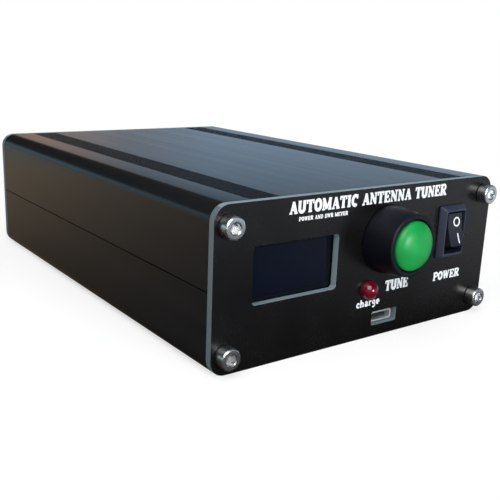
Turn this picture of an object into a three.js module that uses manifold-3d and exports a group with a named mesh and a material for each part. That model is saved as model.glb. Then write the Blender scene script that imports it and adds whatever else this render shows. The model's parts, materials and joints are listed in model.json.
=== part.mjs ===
// Automatic antenna tuner in a split extruded aluminium case.
// Millimetres, +Z up. The origin is the middle of the case's underside, +X is to the right
// seen from the front, and the front plate faces -Y.
import * as THREE from 'three';
import { mergeVertices } from 'three/addons/utils/BufferGeometryUtils.js';
import Module from 'manifold-3d';

const wasm = await Module();
wasm.setup();

// ---- driving dimensions -------------------------------------------------------------
const CASE_WIDTH = 97;
const CASE_HEIGHT = 41;
const CASE_LENGTH = 142; // over the two end plates
const CORNER_RADIUS = 4.2;
const PLATE_THICKNESS = 2;
const WALL = 2;
const SEAT_GAP = 0.1; // between faces that are screwed together
const CLEARANCE = 0.3; // around anything that passes through a hole

// end-plate screws, M3 socket heads
const SCREW_INSET_X = 3.8;
const SCREW_INSET_Z = 5;
const SCREW_HEAD_RADIUS = 2.75;
const SCREW_HEAD_HEIGHT = 3;
const SCREW_SHANK_RADIUS = 1.25;
const SCREW_REACH = 10;
const SCREW_SOCKET_RADIUS = 1.45;
const SCREW_SOCKET_DEPTH = 1.6;

// case extrusion
const SEAM_GAP = 0.3;
const PORT_RADIUS = 3.2; // screw port in each corner of the extrusion
const RAIL_X = 43.6;
const SLOT_X = 45.4;
const SLOT_BOTTOM = 8.6;
const SLOT_TOP = 10.8;
const RAIL_TOP = 12.4;
const SEAM_LAND = 3.2; // wall thickness along the seam
const SEAM_LAND_DEPTH = 4.5;
const TONGUE_OUTER = 1;
const TONGUE_INNER = 2;
const TONGUE_HEIGHT = 1.8;
const RIB_COUNT = 8;
const RIB_PITCH = 1;
const RIB_WIDTH = 0.6;
const RIB_DEPTH = 0.4;
const RIB_BAND_CENTRE = 33;

// front plate
const WINDOW = { x: -24, z: 23.1, width: 26.4, height: 14.4, radius: 1 };
const BUTTON = { x: 6.8, z: 26.95, travel: 2.5 };
const ROCKER = { x: 31.6, z: 26.2, width: 10.1, height: 15, proud: 2 };
const LAMP = { x: 0.9, z: 13.8, radius: 2.45, proud: 3 };
const CHARGE = { x: 7.9, z: 5.1, width: 9.4, height: 3.8, radius: 0.5 };

// rear plate
const SOCKETS = [
  { name: 'radio_socket', x: -25 },
  { name: 'antenna_socket', x: 25 },
];
const SOCKET_Z = 20.5;
const SOCKET_FLANGE = 25.4;
const SOCKET_SCREW_SPACING = 18.2;
const SOCKET_BARREL_RADIUS = 7.9;
const SOCKET_REACH = 16;
const STUD = { x: 0, z: 14, radius: 2.5, reach: 14 };

// main board and what stands on it
const BOARD = { width: 90, front: -64, rear: 66, bottom: 8.9, thickness: 1.6 };
const RELAY = { width: 19, depth: 15.5, height: 15.3, pitch: 15.7, x: 33.5, firstY: -38.7 };
const RELAYS_PER_ROW = 7;

// ---- places worked out from them ----------------------------------------------------
const HALF_WIDTH = CASE_WIDTH / 2;
const SEAM_Z = CASE_HEIGHT / 2;
const FRONT = -CASE_LENGTH / 2; // outer face of the front plate
const REAR = CASE_LENGTH / 2;
const PLATE_BACK = FRONT + PLATE_THICKNESS;
const PLATE_INNER_REAR = REAR - PLATE_THICKNESS;
const BOARD_TOP = BOARD.bottom + BOARD.thickness;
const PART_Z = BOARD_TOP + CLEARANCE; // underside of what stands on the board
const SCREW_X = HALF_WIDTH - SCREW_INSET_X;
const SCREW_PLACES = [
  [-SCREW_X, CASE_HEIGHT - SCREW_INSET_Z],
  [SCREW_X, CASE_HEIGHT - SCREW_INSET_Z],
  [-SCREW_X, SCREW_INSET_Z],
  [SCREW_X, SCREW_INSET_Z],
];

// ---- materials ----------------------------------------------------------------------
const finish = (color, roughness, metalness) =>
  new THREE.MeshStandardMaterial({ color, roughness, metalness });
const anodised = finish(0x17191c, 0.45, 0.6);
const plateBlack = finish(0x131313, 0.3, 0);
const steel = finish(0xb9bcc0, 0.3, 1);
const nickel = finish(0xc6c4bc, 0.25, 1);
const brass = finish(0xb08d4a, 0.3, 1);
const glossBlack = finish(0x0c0c0e, 0.25, 0);
const mattBlack = finish(0x1a1c26, 0.6, 0);
const greenLens = finish(0x12a050, 0.25, 0);
const redLens = finish(0xc8231b, 0.2, 0);
const glassNavy = finish(0x0b1228, 0.1, 0);
const boardGreen = finish(0x1c5a38, 0.5, 0);
const relayBlue = finish(0x1d4f8c, 0.45, 0);
const ferrite = finish(0x9c2a22, 0.7, 0);
const ferriteGrey = finish(0x3a3a3c, 0.7, 0);
const copper = finish(0xb5672f, 0.35, 1);
const foil = finish(0x9aa0a4, 0.4, 0.5);
const ptfe = finish(0xe9e6dc, 0.5, 0);

// ---- solids -------------------------------------------------------------------------
const ROUND = 24; // sides of a turned piece

// Leaves only merged positions, and drops the triangles that a pole or a seam flattens.
function closed(geometry) {
  const bare = geometry.clone();
  bare.deleteAttribute('normal');
  bare.deleteAttribute('uv');
  const merged = mergeVertices(bare, 1e-5);
  const index = [];
  for (let i = 0; i < merged.index.count; i += 3) {
    const [a, b, c] = [0, 1, 2].map((k) => merged.index.getX(i + k));
    if (a !== b && b !== c && c !== a) index.push(a, b, c);
  }
  merged.setIndex(index);
  return merged;
}

function toManifold(geometry) {
  const merged = closed(geometry);
  const vertProperties = Float32Array.from(merged.attributes.position.array);
  const triVerts = Uint32Array.from(merged.index.array);
  return new wasm.Manifold(new wasm.Mesh({ numProp: 3, vertProperties, triVerts }));
}

function toGeometry(solid) {
  const { vertProperties, triVerts } = solid.getMesh();
  const geometry = new THREE.BufferGeometry();
  geometry.setAttribute('position', new THREE.BufferAttribute(vertProperties, 3));
  geometry.setIndex(new THREE.BufferAttribute(triVerts, 1));
  geometry.computeVertexNormals();
  return geometry;
}

function cut(base, ...tools) {
  return toGeometry(tools.reduce((solid, tool) => solid.subtract(toManifold(tool)), toManifold(base)));
}

function join(base, ...others) {
  return toGeometry(others.reduce((solid, other) => solid.add(toManifold(other)), toManifold(base)));
}

// A shape drawn in X and Z, drawn out along Y from yFront to yRear.
function along(shape, yFront, yRear, curveSegments = 4) {
  const geometry = new THREE.ExtrudeGeometry(shape, {
    depth: yRear - yFront,
    bevelEnabled: false,
    curveSegments,
  });
  return geometry.rotateX(Math.PI / 2).translate(0, yRear, 0);
}

// A profile of [radius, y] pairs turned about the Y axis, listed so that the outside runs
// towards +Y, and carried to x, z.
function turned(profile, x = 0, z = 0, segments = ROUND) {
  const points = profile.map(([radius, y]) => new THREE.Vector2(radius, y));
  return closed(new THREE.LatheGeometry(points, segments)).translate(x, 0, z);
}

function block(x0, x1, y0, y1, z0, z1) {
  const geometry = new THREE.BoxGeometry(x1 - x0, y1 - y0, z1 - z0);
  return geometry.translate((x0 + x1) / 2, (y0 + y1) / 2, (z0 + z1) / 2);
}

function rod(radius, yFront, yRear, x, z, segments = ROUND) {
  return turned([[0, yFront], [radius, yFront], [radius, yRear], [0, yRear]], x, z, segments);
}

// Traces a rectangle with round corners, anticlockwise, on a shape or on a hole's path.
function roundedRectangle(path, x, z, width, height, radius) {
  const right = x + width / 2 - radius;
  const left = x - width / 2 + radius;
  const top = z + height / 2 - radius;
  const bottom = z - height / 2 + radius;
  path.absarc(right, bottom, radius, -Math.PI / 2, 0, false);
  path.absarc(right, top, radius, 0, Math.PI / 2, false);
  path.absarc(left, top, radius, Math.PI / 2, Math.PI, false);
  path.absarc(left, bottom, radius, Math.PI, 1.5 * Math.PI, false);
  path.closePath();
  return path;
}

// A round hole in two half turns, so that it has twice the sides of one arc.
function roundHole(x, z, radius) {
  const path = new THREE.Path().absarc(x, z, radius, 0, Math.PI, false);
  return path.absarc(x, z, radius, Math.PI, 2 * Math.PI, false);
}

class Helix extends THREE.Curve {
  constructor(radius, length, turns) {
    super();
    Object.assign(this, { radius, length, turns });
  }

  getPoint(t, target = new THREE.Vector3()) {
    const angle = 2 * Math.PI * this.turns * t;
    const { radius, length } = this;
    return target.set(radius * Math.cos(angle), length * t, radius * Math.sin(angle));
  }
}

function coil(radius, wireRadius, length, turns, stepsPerTurn = 9) {
  const section = new THREE.Shape().absarc(0, 0, wireRadius, 0, 2 * Math.PI, false);
  return new THREE.ExtrudeGeometry(section, {
    steps: turns * stepsPerTurn,
    curveSegments: 2,
    extrudePath: new Helix(radius, length, turns),
  });
}

// ---- the object ---------------------------------------------------------------------
const tuner = new THREE.Group();

function add(name, geometry, material, parent = tuner) {
  const mesh = new THREE.Mesh(geometry, material);
  mesh.name = name;
  parent.add(mesh);
  return mesh;
}

// One half of the case. Both halves are the same extrusion, one of them turned over, so a
// half has the seam's tongue on its left and the seam's groove on its right.
function caseHalf() {
  const seam = SEAM_Z - SEAM_GAP / 2;
  const inner = HALF_WIDTH - WALL;
  const land = HALF_WIDTH - SEAM_LAND;
  const landFoot = seam - SEAM_LAND_DEPTH;
  const grooveOuter = HALF_WIDTH - TONGUE_OUTER + CLEARANCE;
  const grooveInner = HALF_WIDTH - TONGUE_INNER - CLEARANCE;
  const grooveFloor = seam - TONGUE_HEIGHT - CLEARANCE;
  const portStart = Math.acos((RAIL_X - SCREW_X) / PORT_RADIUS);
  const portEnd = Math.PI + Math.asin((SCREW_INSET_Z - WALL) / PORT_RADIUS);
  const shape = new THREE.Shape();

  const ribBand = (centre) => {
    const start = centre - ((RIB_COUNT - 1) * RIB_PITCH + RIB_WIDTH) / 2;
    for (let i = 0; i < RIB_COUNT; i += 1) {
      const x = start + i * RIB_PITCH;
      shape.lineTo(x, 0).lineTo(x + RIB_WIDTH / 2, RIB_DEPTH).lineTo(x + RIB_WIDTH, 0);
    }
  };

  // outside: down the left wall, across the underside and up the right wall
  shape.moveTo(-HALF_WIDTH, seam);
  shape.lineTo(-HALF_WIDTH, CORNER_RADIUS);
  shape.absarc(-HALF_WIDTH + CORNER_RADIUS, CORNER_RADIUS, CORNER_RADIUS, Math.PI, 1.5 * Math.PI);
  ribBand(-RIB_BAND_CENTRE);
  ribBand(RIB_BAND_CENTRE);
  shape.absarc(HALF_WIDTH - CORNER_RADIUS, CORNER_RADIUS, CORNER_RADIUS, 1.5 * Math.PI, 2 * Math.PI);
  // the right seam's groove
  shape.lineTo(HALF_WIDTH, seam).lineTo(grooveOuter, seam);
  shape.lineTo(grooveOuter, grooveFloor).lineTo(grooveInner, grooveFloor);
  shape.lineTo(grooveInner, seam).lineTo(land, seam);
  // inside: down past the board slot, round the screw ports and back up
  shape.lineTo(land, landFoot).lineTo(inner, landFoot - SEAM_LAND + WALL);
  shape.lineTo(inner, RAIL_TOP).lineTo(RAIL_X, RAIL_TOP).lineTo(RAIL_X, SLOT_TOP);
  shape.lineTo(SLOT_X, SLOT_TOP).lineTo(SLOT_X, SLOT_BOTTOM).lineTo(RAIL_X, SLOT_BOTTOM);
  shape.absarc(SCREW_X, SCREW_INSET_Z, PORT_RADIUS, portStart, portEnd);
  shape.absarc(-SCREW_X, SCREW_INSET_Z, PORT_RADIUS, Math.PI - portEnd, Math.PI - portStart);
  shape.lineTo(-RAIL_X, SLOT_BOTTOM).lineTo(-SLOT_X, SLOT_BOTTOM).lineTo(-SLOT_X, SLOT_TOP);
  shape.lineTo(-RAIL_X, SLOT_TOP).lineTo(-RAIL_X, RAIL_TOP).lineTo(-inner, RAIL_TOP);
  shape.lineTo(-inner, landFoot - SEAM_LAND + WALL).lineTo(-land, landFoot).lineTo(-land, seam);
  // the left seam's tongue
  const tongueTop = seam + TONGUE_HEIGHT;
  shape.lineTo(-HALF_WIDTH + TONGUE_INNER, seam).lineTo(-HALF_WIDTH + TONGUE_INNER, tongueTop);
  shape.lineTo(-HALF_WIDTH + TONGUE_OUTER, tongueTop).lineTo(-HALF_WIDTH + TONGUE_OUTER, seam);
  shape.closePath();

  for (const side of [-1, 1]) {
    shape.holes.push(roundHole(side * SCREW_X, SCREW_INSET_Z, SCREW_SHANK_RADIUS + CLEARANCE));
  }
  return along(shape, PLATE_BACK + SEAT_GAP, PLATE_INNER_REAR - SEAT_GAP);
}

function addCase() {
  add('lower_shell', caseHalf(), anodised);
  const upper = add('upper_shell', caseHalf(), anodised);
  upper.rotation.y = Math.PI;
  upper.position.z = CASE_HEIGHT;
}

function plate(holes) {
  const shape = roundedRectangle(
    new THREE.Shape(), 0, CASE_HEIGHT / 2, CASE_WIDTH, CASE_HEIGHT, CORNER_RADIUS,
  );
  const screwHoles = SCREW_PLACES.map(([x, z]) => roundHole(x, z, SCREW_SHANK_RADIUS + CLEARANCE));
  shape.holes.push(...screwHoles, ...holes);
  return shape;
}

// Where things pass through the front plate, these are the sizes behind it.
const BUTTON_THREAD_RADIUS = 7.7;
const ROCKER_BODY = { width: 8.8, height: 13.4, depth: 12 };

function addFrontPlate() {
  const { x, z, width, height, radius } = WINDOW;
  const holes = [
    roundedRectangle(new THREE.Path(), x, z, width, height, radius),
    roundHole(BUTTON.x, BUTTON.z, BUTTON_THREAD_RADIUS + CLEARANCE),
    roundedRectangle(
      new THREE.Path(), ROCKER.x, ROCKER.z,
      ROCKER_BODY.width + CLEARANCE, ROCKER_BODY.height + CLEARANCE, 0.4,
    ),
    roundHole(LAMP.x, LAMP.z, LAMP.radius + CLEARANCE / 2),
    roundedRectangle(
      new THREE.Path(), CHARGE.x, CHARGE.z, CHARGE.width, CHARGE.height, CHARGE.radius,
    ),
  ];
  add('front_panel', along(plate(holes), FRONT, PLATE_BACK), plateBlack);
}

function addRearPlate() {
  const holes = [roundHole(STUD.x, STUD.z, STUD.radius + CLEARANCE)];
  for (const socket of SOCKETS) {
    holes.push(roundHole(socket.x, SOCKET_Z, SOCKET_INSULATOR_RADIUS + CLEARANCE));
    const places = flangeScrewPlaces(socket.x);
    holes.push(...places.map(([x, z]) => roundHole(x, z, FLANGE_HOLE_RADIUS)));
  }
  add('rear_panel', along(plate(holes), PLATE_INNER_REAR, REAR, 3), plateBlack);
}

// A socket-head screw whose head faces -Y and bears on y = 0.
function panelScrew() {
  const chamfer = 0.35;
  const body = turned([
    [0, -SCREW_HEAD_HEIGHT],
    [SCREW_HEAD_RADIUS - chamfer, -SCREW_HEAD_HEIGHT],
    [SCREW_HEAD_RADIUS, -SCREW_HEAD_HEIGHT + chamfer],
    [SCREW_HEAD_RADIUS, 0],
    [SCREW_SHANK_RADIUS, 0],
    [SCREW_SHANK_RADIUS, SCREW_REACH],
    [0, SCREW_REACH],
  ], 0, 0, 16);
  const socketFloor = -SCREW_HEAD_HEIGHT + SCREW_SOCKET_DEPTH;
  return cut(body, rod(SCREW_SOCKET_RADIUS, -SCREW_HEAD_HEIGHT - 1, socketFloor, 0, 0, 6));
}

function addPanelScrews() {
  const screw = panelScrew();
  SCREW_PLACES.forEach(([x, z], i) => {
    const front = add(`front_screw_${i + 1}`, screw, steel);
    front.position.set(x, FRONT - SEAT_GAP, z);
    const rear = add(`rear_screw_${i + 1}`, screw, steel);
    rear.position.set(x, REAR + SEAT_GAP, z);
    rear.rotation.z = Math.PI;
  });
}

function addDisplay() {
  const glass = { width: 27.4, height: 19.3, thickness: 1.5 };
  const board = { width: 27.8, height: 27.8, thickness: 1.2 };
  const glassFront = PLATE_BACK + CLEARANCE;
  const boardFront = glassFront + glass.thickness + CLEARANCE;
  const spread = (size) => [WINDOW.x - size.width / 2, WINDOW.x + size.width / 2];
  const lift = (size) => [WINDOW.z - size.height / 2, WINDOW.z + size.height / 2];
  add('display_glass',
    block(...spread(glass), glassFront, glassFront + glass.thickness, ...lift(glass)), glassNavy);
  add('display_board',
    block(...spread(board), boardFront, boardFront + board.thickness, ...lift(board)), boardGreen);
}

// The tune button: a round bezel screwed through the plate, a nut behind it, and a green
// cap that slides in on a coil spring.
const BEZEL = { baseRadius: 9.2, rimRadius: 8.3, proud: 9, bore: 6.9, rimChamfer: [0.4, 0.5] };
const BUTTON_CAP = { radius: 6.55, dome: 2.85, domeSteps: 5, rimSet: 0.3, skirt: 7 };
const BUTTON_STEM = { radius: 1.4, shortOfFloor: 2 };
const BUTTON_FLOOR = 2;
const BUTTON_SPRING = { radius: 2.3, wire: 0.3, turns: 7 };
const BUTTON_NUT = { radius: 10.4, thickness: 3 };
const SPRING_BORE = { radius: 3.2, depth: 9 };
const BUTTON_DEPTH = 14; // of the threaded body behind the plate

function addTuneButton() {
  const group = new THREE.Group();
  group.position.set(BUTTON.x, 0, BUTTON.z);
  tuner.add(group);
  const rim = FRONT - BEZEL.proud;
  const seat = FRONT - SEAT_GAP;
  const back = PLATE_BACK + BUTTON_DEPTH;
  const springFloor = back - BUTTON_FLOOR;
  const cavityFloor = springFloor - SPRING_BORE.depth;
  add('tune_button_housing', turned([
    [0, springFloor],
    [SPRING_BORE.radius, springFloor],
    [SPRING_BORE.radius, cavityFloor],
    [BEZEL.bore, cavityFloor],
    [BEZEL.bore, rim],
    [BEZEL.rimRadius - BEZEL.rimChamfer[0], rim],
    [BEZEL.rimRadius, rim + BEZEL.rimChamfer[1]],
    [BEZEL.baseRadius, seat],
    [BUTTON_THREAD_RADIUS, seat],
    [BUTTON_THREAD_RADIUS, back],
    [0, back],
  ], 0, 0, 32), glossBlack, group);

  const domeEdge = rim + BUTTON_CAP.rimSet;
  const capBack = domeEdge + BUTTON_CAP.skirt;
  const profile = [];
  for (let i = 0; i < BUTTON_CAP.domeSteps; i += 1) {
    const angle = (i / BUTTON_CAP.domeSteps) * (Math.PI / 2);
    const y = domeEdge - BUTTON_CAP.dome * Math.cos(angle);
    profile.push([BUTTON_CAP.radius * Math.sin(angle), y]);
  }
  const stemEnd = springFloor - BUTTON.travel - BUTTON_STEM.shortOfFloor;
  profile.push([BUTTON_CAP.radius, domeEdge], [BUTTON_CAP.radius, capBack]);
  profile.push([BUTTON_STEM.radius, capBack], [BUTTON_STEM.radius, stemEnd], [0, stemEnd]);
  add('tune_button_cap', turned(profile, 0, 0, 32), greenLens, group);

  const { radius: springRadius, wire, turns } = BUTTON_SPRING;
  const springLength = springFloor - capBack - 2 * CLEARANCE - 2 * wire;
  const spring = add('tune_button_spring', coil(springRadius, wire, springLength, turns), steel, group);
  spring.position.y = capBack + CLEARANCE + wire;

  const nutFront = PLATE_BACK + SEAT_GAP;
  const nutBack = nutFront + BUTTON_NUT.thickness;
  const nut = rod(BUTTON_NUT.radius, nutFront, nutBack, 0, 0, 6);
  const nutBore = rod(BUTTON_THREAD_RADIUS + CLEARANCE, nutFront - 1, nutBack + 1, 0, 0);
  add('tune_button_nut', cut(nut, nutBore), nickel, group);
}

// The power rocker: a snap-in housing and a two-faced actuator on journals. At rest its
// upper end is pressed in.
const ROCKER_OPENING = { width: 7.6, height: 12 };
const ROCKER_SLOPE = { inset: 0.9, run: 1.5 }; // of the bezel's sloping sides
const ROCKER_CORNER = 0.5;
const ROCKER_FLOOR = 2;
const ROCKER_OVERLAP = 1; // of the body into the bezel
const ROCKER_HALF_SWING = THREE.MathUtils.degToRad(14);
const ROCKER_PIVOT_DEPTH = 1.25; // behind the plate's outer face
const ACTUATOR = { width: 5.8, halfHeight: 4.6, crest: 3.5 };
const ACTUATOR_FACE_SLOPE = Math.tan(THREE.MathUtils.degToRad(6.5));
const ACTUATOR_TAIL = { back: 2, halfFlat: 1.5, shoulder: 0.5, shoulderInset: 0.8 };
const JOURNAL = { radius: 0.8, short: 0.4, sides: 16 };
const TERMINAL = { spacing: 7.6, width: 4.8, thickness: 0.8, length: 7 };

function rockerHousing() {
  const { x, z, width, height, proud } = ROCKER;
  const seat = FRONT - SEAT_GAP;
  const bezelFront = FRONT - proud;
  const bodyBack = PLATE_BACK + ROCKER_BODY.depth;
  const outline = roundedRectangle(
    new THREE.Shape(), x, z,
    width - 2 * ROCKER_SLOPE.inset, height - 2 * ROCKER_SLOPE.inset, ROCKER_CORNER,
  );
  const bezel = new THREE.ExtrudeGeometry(outline, {
    depth: proud - SEAT_GAP - ROCKER_SLOPE.run,
    bevelThickness: ROCKER_SLOPE.run,
    bevelSize: ROCKER_SLOPE.inset,
    bevelSegments: 1,
    curveSegments: 3,
  });
  // the slope stands out on both ends, and the one behind is cut off flat
  bezel.rotateX(Math.PI / 2).translate(0, seat, 0);
  const behind = block(x - width, x + width, seat, seat + 5, 0, CASE_HEIGHT);
  const centred = (size, yFront, yBack) => block(
    x - size.width / 2, x + size.width / 2, yFront, yBack, z - size.height / 2, z + size.height / 2,
  );
  const body = centred(ROCKER_BODY, bezelFront + ROCKER_OVERLAP, bodyBack);
  const recess = centred(ROCKER_OPENING, bezelFront - 1, bodyBack - ROCKER_FLOOR);
  const holeRadius = JOURNAL.radius + CLEARANCE;
  const journalHole = new THREE.CylinderGeometry(
    holeRadius, holeRadius, ROCKER_BODY.width + 2, JOURNAL.sides,
  ).rotateZ(Math.PI / 2).translate(x, FRONT + ROCKER_PIVOT_DEPTH, z);
  return cut(join(cut(bezel, behind), body), recess, journalHole);
}

// The actuator about its pivot, drawn level.
function rockerActuator() {
  const { width, halfHeight, crest } = ACTUATOR;
  const { back, halfFlat, shoulder, shoulderInset } = ACTUATOR_TAIL;
  const endFace = -crest - halfHeight * ACTUATOR_FACE_SLOPE;
  const side = new THREE.Shape();
  side.moveTo(-crest, 0);
  side.lineTo(endFace, -halfHeight);
  side.lineTo(shoulder, -halfHeight + shoulderInset);
  side.lineTo(back, -halfFlat);
  side.lineTo(back, halfFlat);
  side.lineTo(shoulder, halfHeight - shoulderInset);
  side.lineTo(endFace, halfHeight);
  side.closePath();
  const wedge = new THREE.ExtrudeGeometry(side, { depth: width, bevelEnabled: false });
  // (shape x, shape y, depth) becomes (y, z, x)
  const turn = new THREE.Matrix4().makeBasis(
    new THREE.Vector3(0, 1, 0), new THREE.Vector3(0, 0, 1), new THREE.Vector3(1, 0, 0),
  );
  wedge.applyMatrix4(turn).translate(-width / 2, 0, 0);
  const journal = new THREE.CylinderGeometry(
    JOURNAL.radius, JOURNAL.radius, ROCKER_BODY.width - JOURNAL.short, JOURNAL.sides,
  ).rotateZ(Math.PI / 2);
  return join(wedge, journal);
}

function addRocker() {
  add('rocker_housing', rockerHousing(), mattBlack);
  const actuator = add('rocker_actuator', rockerActuator(), mattBlack);
  actuator.position.set(ROCKER.x, FRONT + ROCKER_PIVOT_DEPTH, ROCKER.z);
  actuator.rotation.x = -ROCKER_HALF_SWING;

  const bodyBack = PLATE_BACK + ROCKER_BODY.depth;
  const { spacing, width, thickness, length } = TERMINAL;
  [-1, 1].forEach((side, i) => {
    const z = ROCKER.z + side * spacing / 2;
    add(`rocker_terminal_${i + 1}`, block(
      ROCKER.x - width / 2, ROCKER.x + width / 2, bodyBack + SEAT_GAP, bodyBack + length,
      z - thickness / 2, z + thickness / 2,
    ), brass);
  });
}

function addChargeLamp() {
  const { x, z, radius, proud } = LAMP;
  const tip = FRONT - proud;
  const profile = [];
  const steps = 4;
  for (let i = 0; i < steps; i += 1) {
    const angle = (i / steps) * (Math.PI / 2);
    profile.push([radius * Math.sin(angle), tip + radius * (1 - Math.cos(angle))]);
  }
  const flange = { radius: radius + 0.4, front: PLATE_BACK + SEAT_GAP, thickness: 1 };
  const flangeBack = flange.front + flange.thickness;
  profile.push([radius, tip + radius], [radius, flange.front], [flange.radius, flange.front]);
  profile.push([flange.radius, flangeBack], [0, flangeBack]);
  add('charge_led', turned(profile, x, z, 16), redLens);
}

function addChargeSocket() {
  const board = { width: 18, length: 24, thickness: 1, lift: 0.4, setBack: 0.4 };
  const shell = { width: 7.6, height: 2.6, wall: 0.35, front: FRONT + 1.2, depth: 6, corner: 0.7 };
  const tongue = { width: 4.4, thickness: 0.6, setBack: 0.6, short: 0.2 };
  const boardBottom = WALL + board.lift;
  const boardTop = boardBottom + board.thickness;
  const boardFront = PLATE_BACK + board.setBack;
  add('charger_board', block(
    CHARGE.x - board.width / 2, CHARGE.x + board.width / 2, boardFront, boardFront + board.length,
    boardBottom, boardTop,
  ), boardGreen);
  const z = boardTop + CLEARANCE + shell.height / 2;
  const outline = roundedRectangle(
    new THREE.Shape(), CHARGE.x, z, shell.width, shell.height, shell.corner,
  );
  outline.holes.push(roundedRectangle(
    new THREE.Path(), CHARGE.x, z,
    shell.width - 2 * shell.wall, shell.height - 2 * shell.wall, shell.corner - shell.wall,
  ));
  const shellBack = shell.front + shell.depth;
  add('charge_socket_shell', along(outline, shell.front, shellBack, 2), nickel);
  add('charge_socket_tongue', block(
    CHARGE.x - tongue.width / 2, CHARGE.x + tongue.width / 2,
    shell.front + tongue.setBack, shellBack - tongue.short,
    z - tongue.thickness / 2, z + tongue.thickness / 2,
  ), mattBlack);
}

function addMainBoard() {
  const half = BOARD.width / 2;
  add('main_board', block(-half, half, BOARD.front, BOARD.rear, BOARD.bottom, BOARD_TOP), boardGreen);

  // controller: a 28-pin package with a half-round notch at its end
  const chip = { length: 35, width: 7.5, height: 4, x: -4, y: -50, notch: 1.2 };
  const outline = new THREE.Shape();
  outline.moveTo(-chip.length / 2, -chip.width / 2);
  outline.lineTo(chip.length / 2, -chip.width / 2);
  outline.lineTo(chip.length / 2, chip.width / 2);
  outline.lineTo(-chip.length / 2, chip.width / 2);
  outline.absarc(-chip.length / 2, 0, chip.notch, Math.PI / 2, -Math.PI / 2, true);
  outline.closePath();
  const body = new THREE.ExtrudeGeometry(outline, {
    depth: chip.height,
    bevelEnabled: false,
    curveSegments: 5,
  });
  add('controller_chip', body.translate(chip.x, chip.y, PART_Z), glossBlack);

  let relay = 1;
  for (const side of [-1, 1]) {
    for (let i = 0; i < RELAYS_PER_ROW; i += 1) {
      const x = side * RELAY.x;
      const y = RELAY.firstY + i * RELAY.pitch;
      add(`relay_${relay}`, block(
        x - RELAY.width / 2, x + RELAY.width / 2, y - RELAY.depth / 2, y + RELAY.depth / 2,
        PART_Z, PART_Z + RELAY.height,
      ), relayBlue);
      relay += 1;
    }
  }
}

function addInductors() {
  const ring = { outer: 9.6, inner: 6, height: 6.4 };
  const ringProfile = [
    [ring.inner, 0], [ring.outer, 0], [ring.outer, ring.height], [ring.inner, ring.height],
    [ring.inner, 0],
  ];
  const places = [[-11.5, 0], [11.5, 0], [-11.5, 22], [11.5, 22]];
  places.forEach(([x, y], i) => {
    const toroid = turned(ringProfile, 0, 0, 20).rotateX(Math.PI / 2);
    const mesh = add(`toroid_inductor_${i + 1}`, toroid, ferrite);
    mesh.position.set(x, y, PART_Z);
  });
  const air = { radius: 5, wire: 0.6, length: 16, turns: 5, pitch: 14, front: -34, lift: 0.4 };
  [-1, 0, 1].forEach((step, i) => {
    const winding = coil(air.radius, air.wire, air.length, air.turns);
    const mesh = add(`air_coil_${i + 1}`, winding, copper);
    mesh.position.set(step * air.pitch, air.front, PART_Z + air.radius + air.wire + air.lift);
  });
  const core = { width: 14.4, length: 13.4, height: 7.5, bore: 1.9, spacing: 5.7 };
  const coreY = 46;
  const blank = block(
    -core.width / 2, core.width / 2, coreY - core.length / 2, coreY + core.length / 2,
    PART_Z, PART_Z + core.height,
  );
  const bores = [-1, 1].map((side) => rod(
    core.bore, coreY - core.length, coreY + core.length,
    side * core.spacing / 2, PART_Z + core.height / 2, 16,
  ));
  add('bridge_transformer_core', cut(blank, ...bores), ferriteGrey);
}

function addBattery() {
  const cell = { width: 36, length: 60, height: 8.4, front: -28, gap: 2, corner: 2 };
  const top = CASE_HEIGHT - WALL - CLEARANCE;
  [-1, 1].forEach((side, i) => {
    const x = side * (cell.width + cell.gap) / 2;
    const shape = roundedRectangle(
      new THREE.Shape(), x, top - cell.height / 2, cell.width, cell.height, cell.corner,
    );
    add(`battery_cell_${i + 1}`, along(shape, cell.front, cell.front + cell.length, 2), foil);
  });
}

const SOCKET_INSULATOR_RADIUS = 6;
const SOCKET_FLANGE_THICKNESS = 2;
const SOCKET_CONTACT = { radius: 2.5, bore: 1.9, boreDepth: 12, tail: 2, reach: 5 };
const FLANGE_HOLE_RADIUS = 1.7;
const FLANGE_CORNER = 1;
const BARREL_CHAMFER = 0.5;
const INSULATOR_RECESS = 7; // of its face behind the barrel's mouth
const INSULATOR_BACK = 3; // behind the rear plate

function flangeScrewPlaces(x) {
  const half = SOCKET_SCREW_SPACING / 2;
  return [[x - half, SOCKET_Z - half], [x + half, SOCKET_Z - half],
    [x - half, SOCKET_Z + half], [x + half, SOCKET_Z + half]];
}

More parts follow.
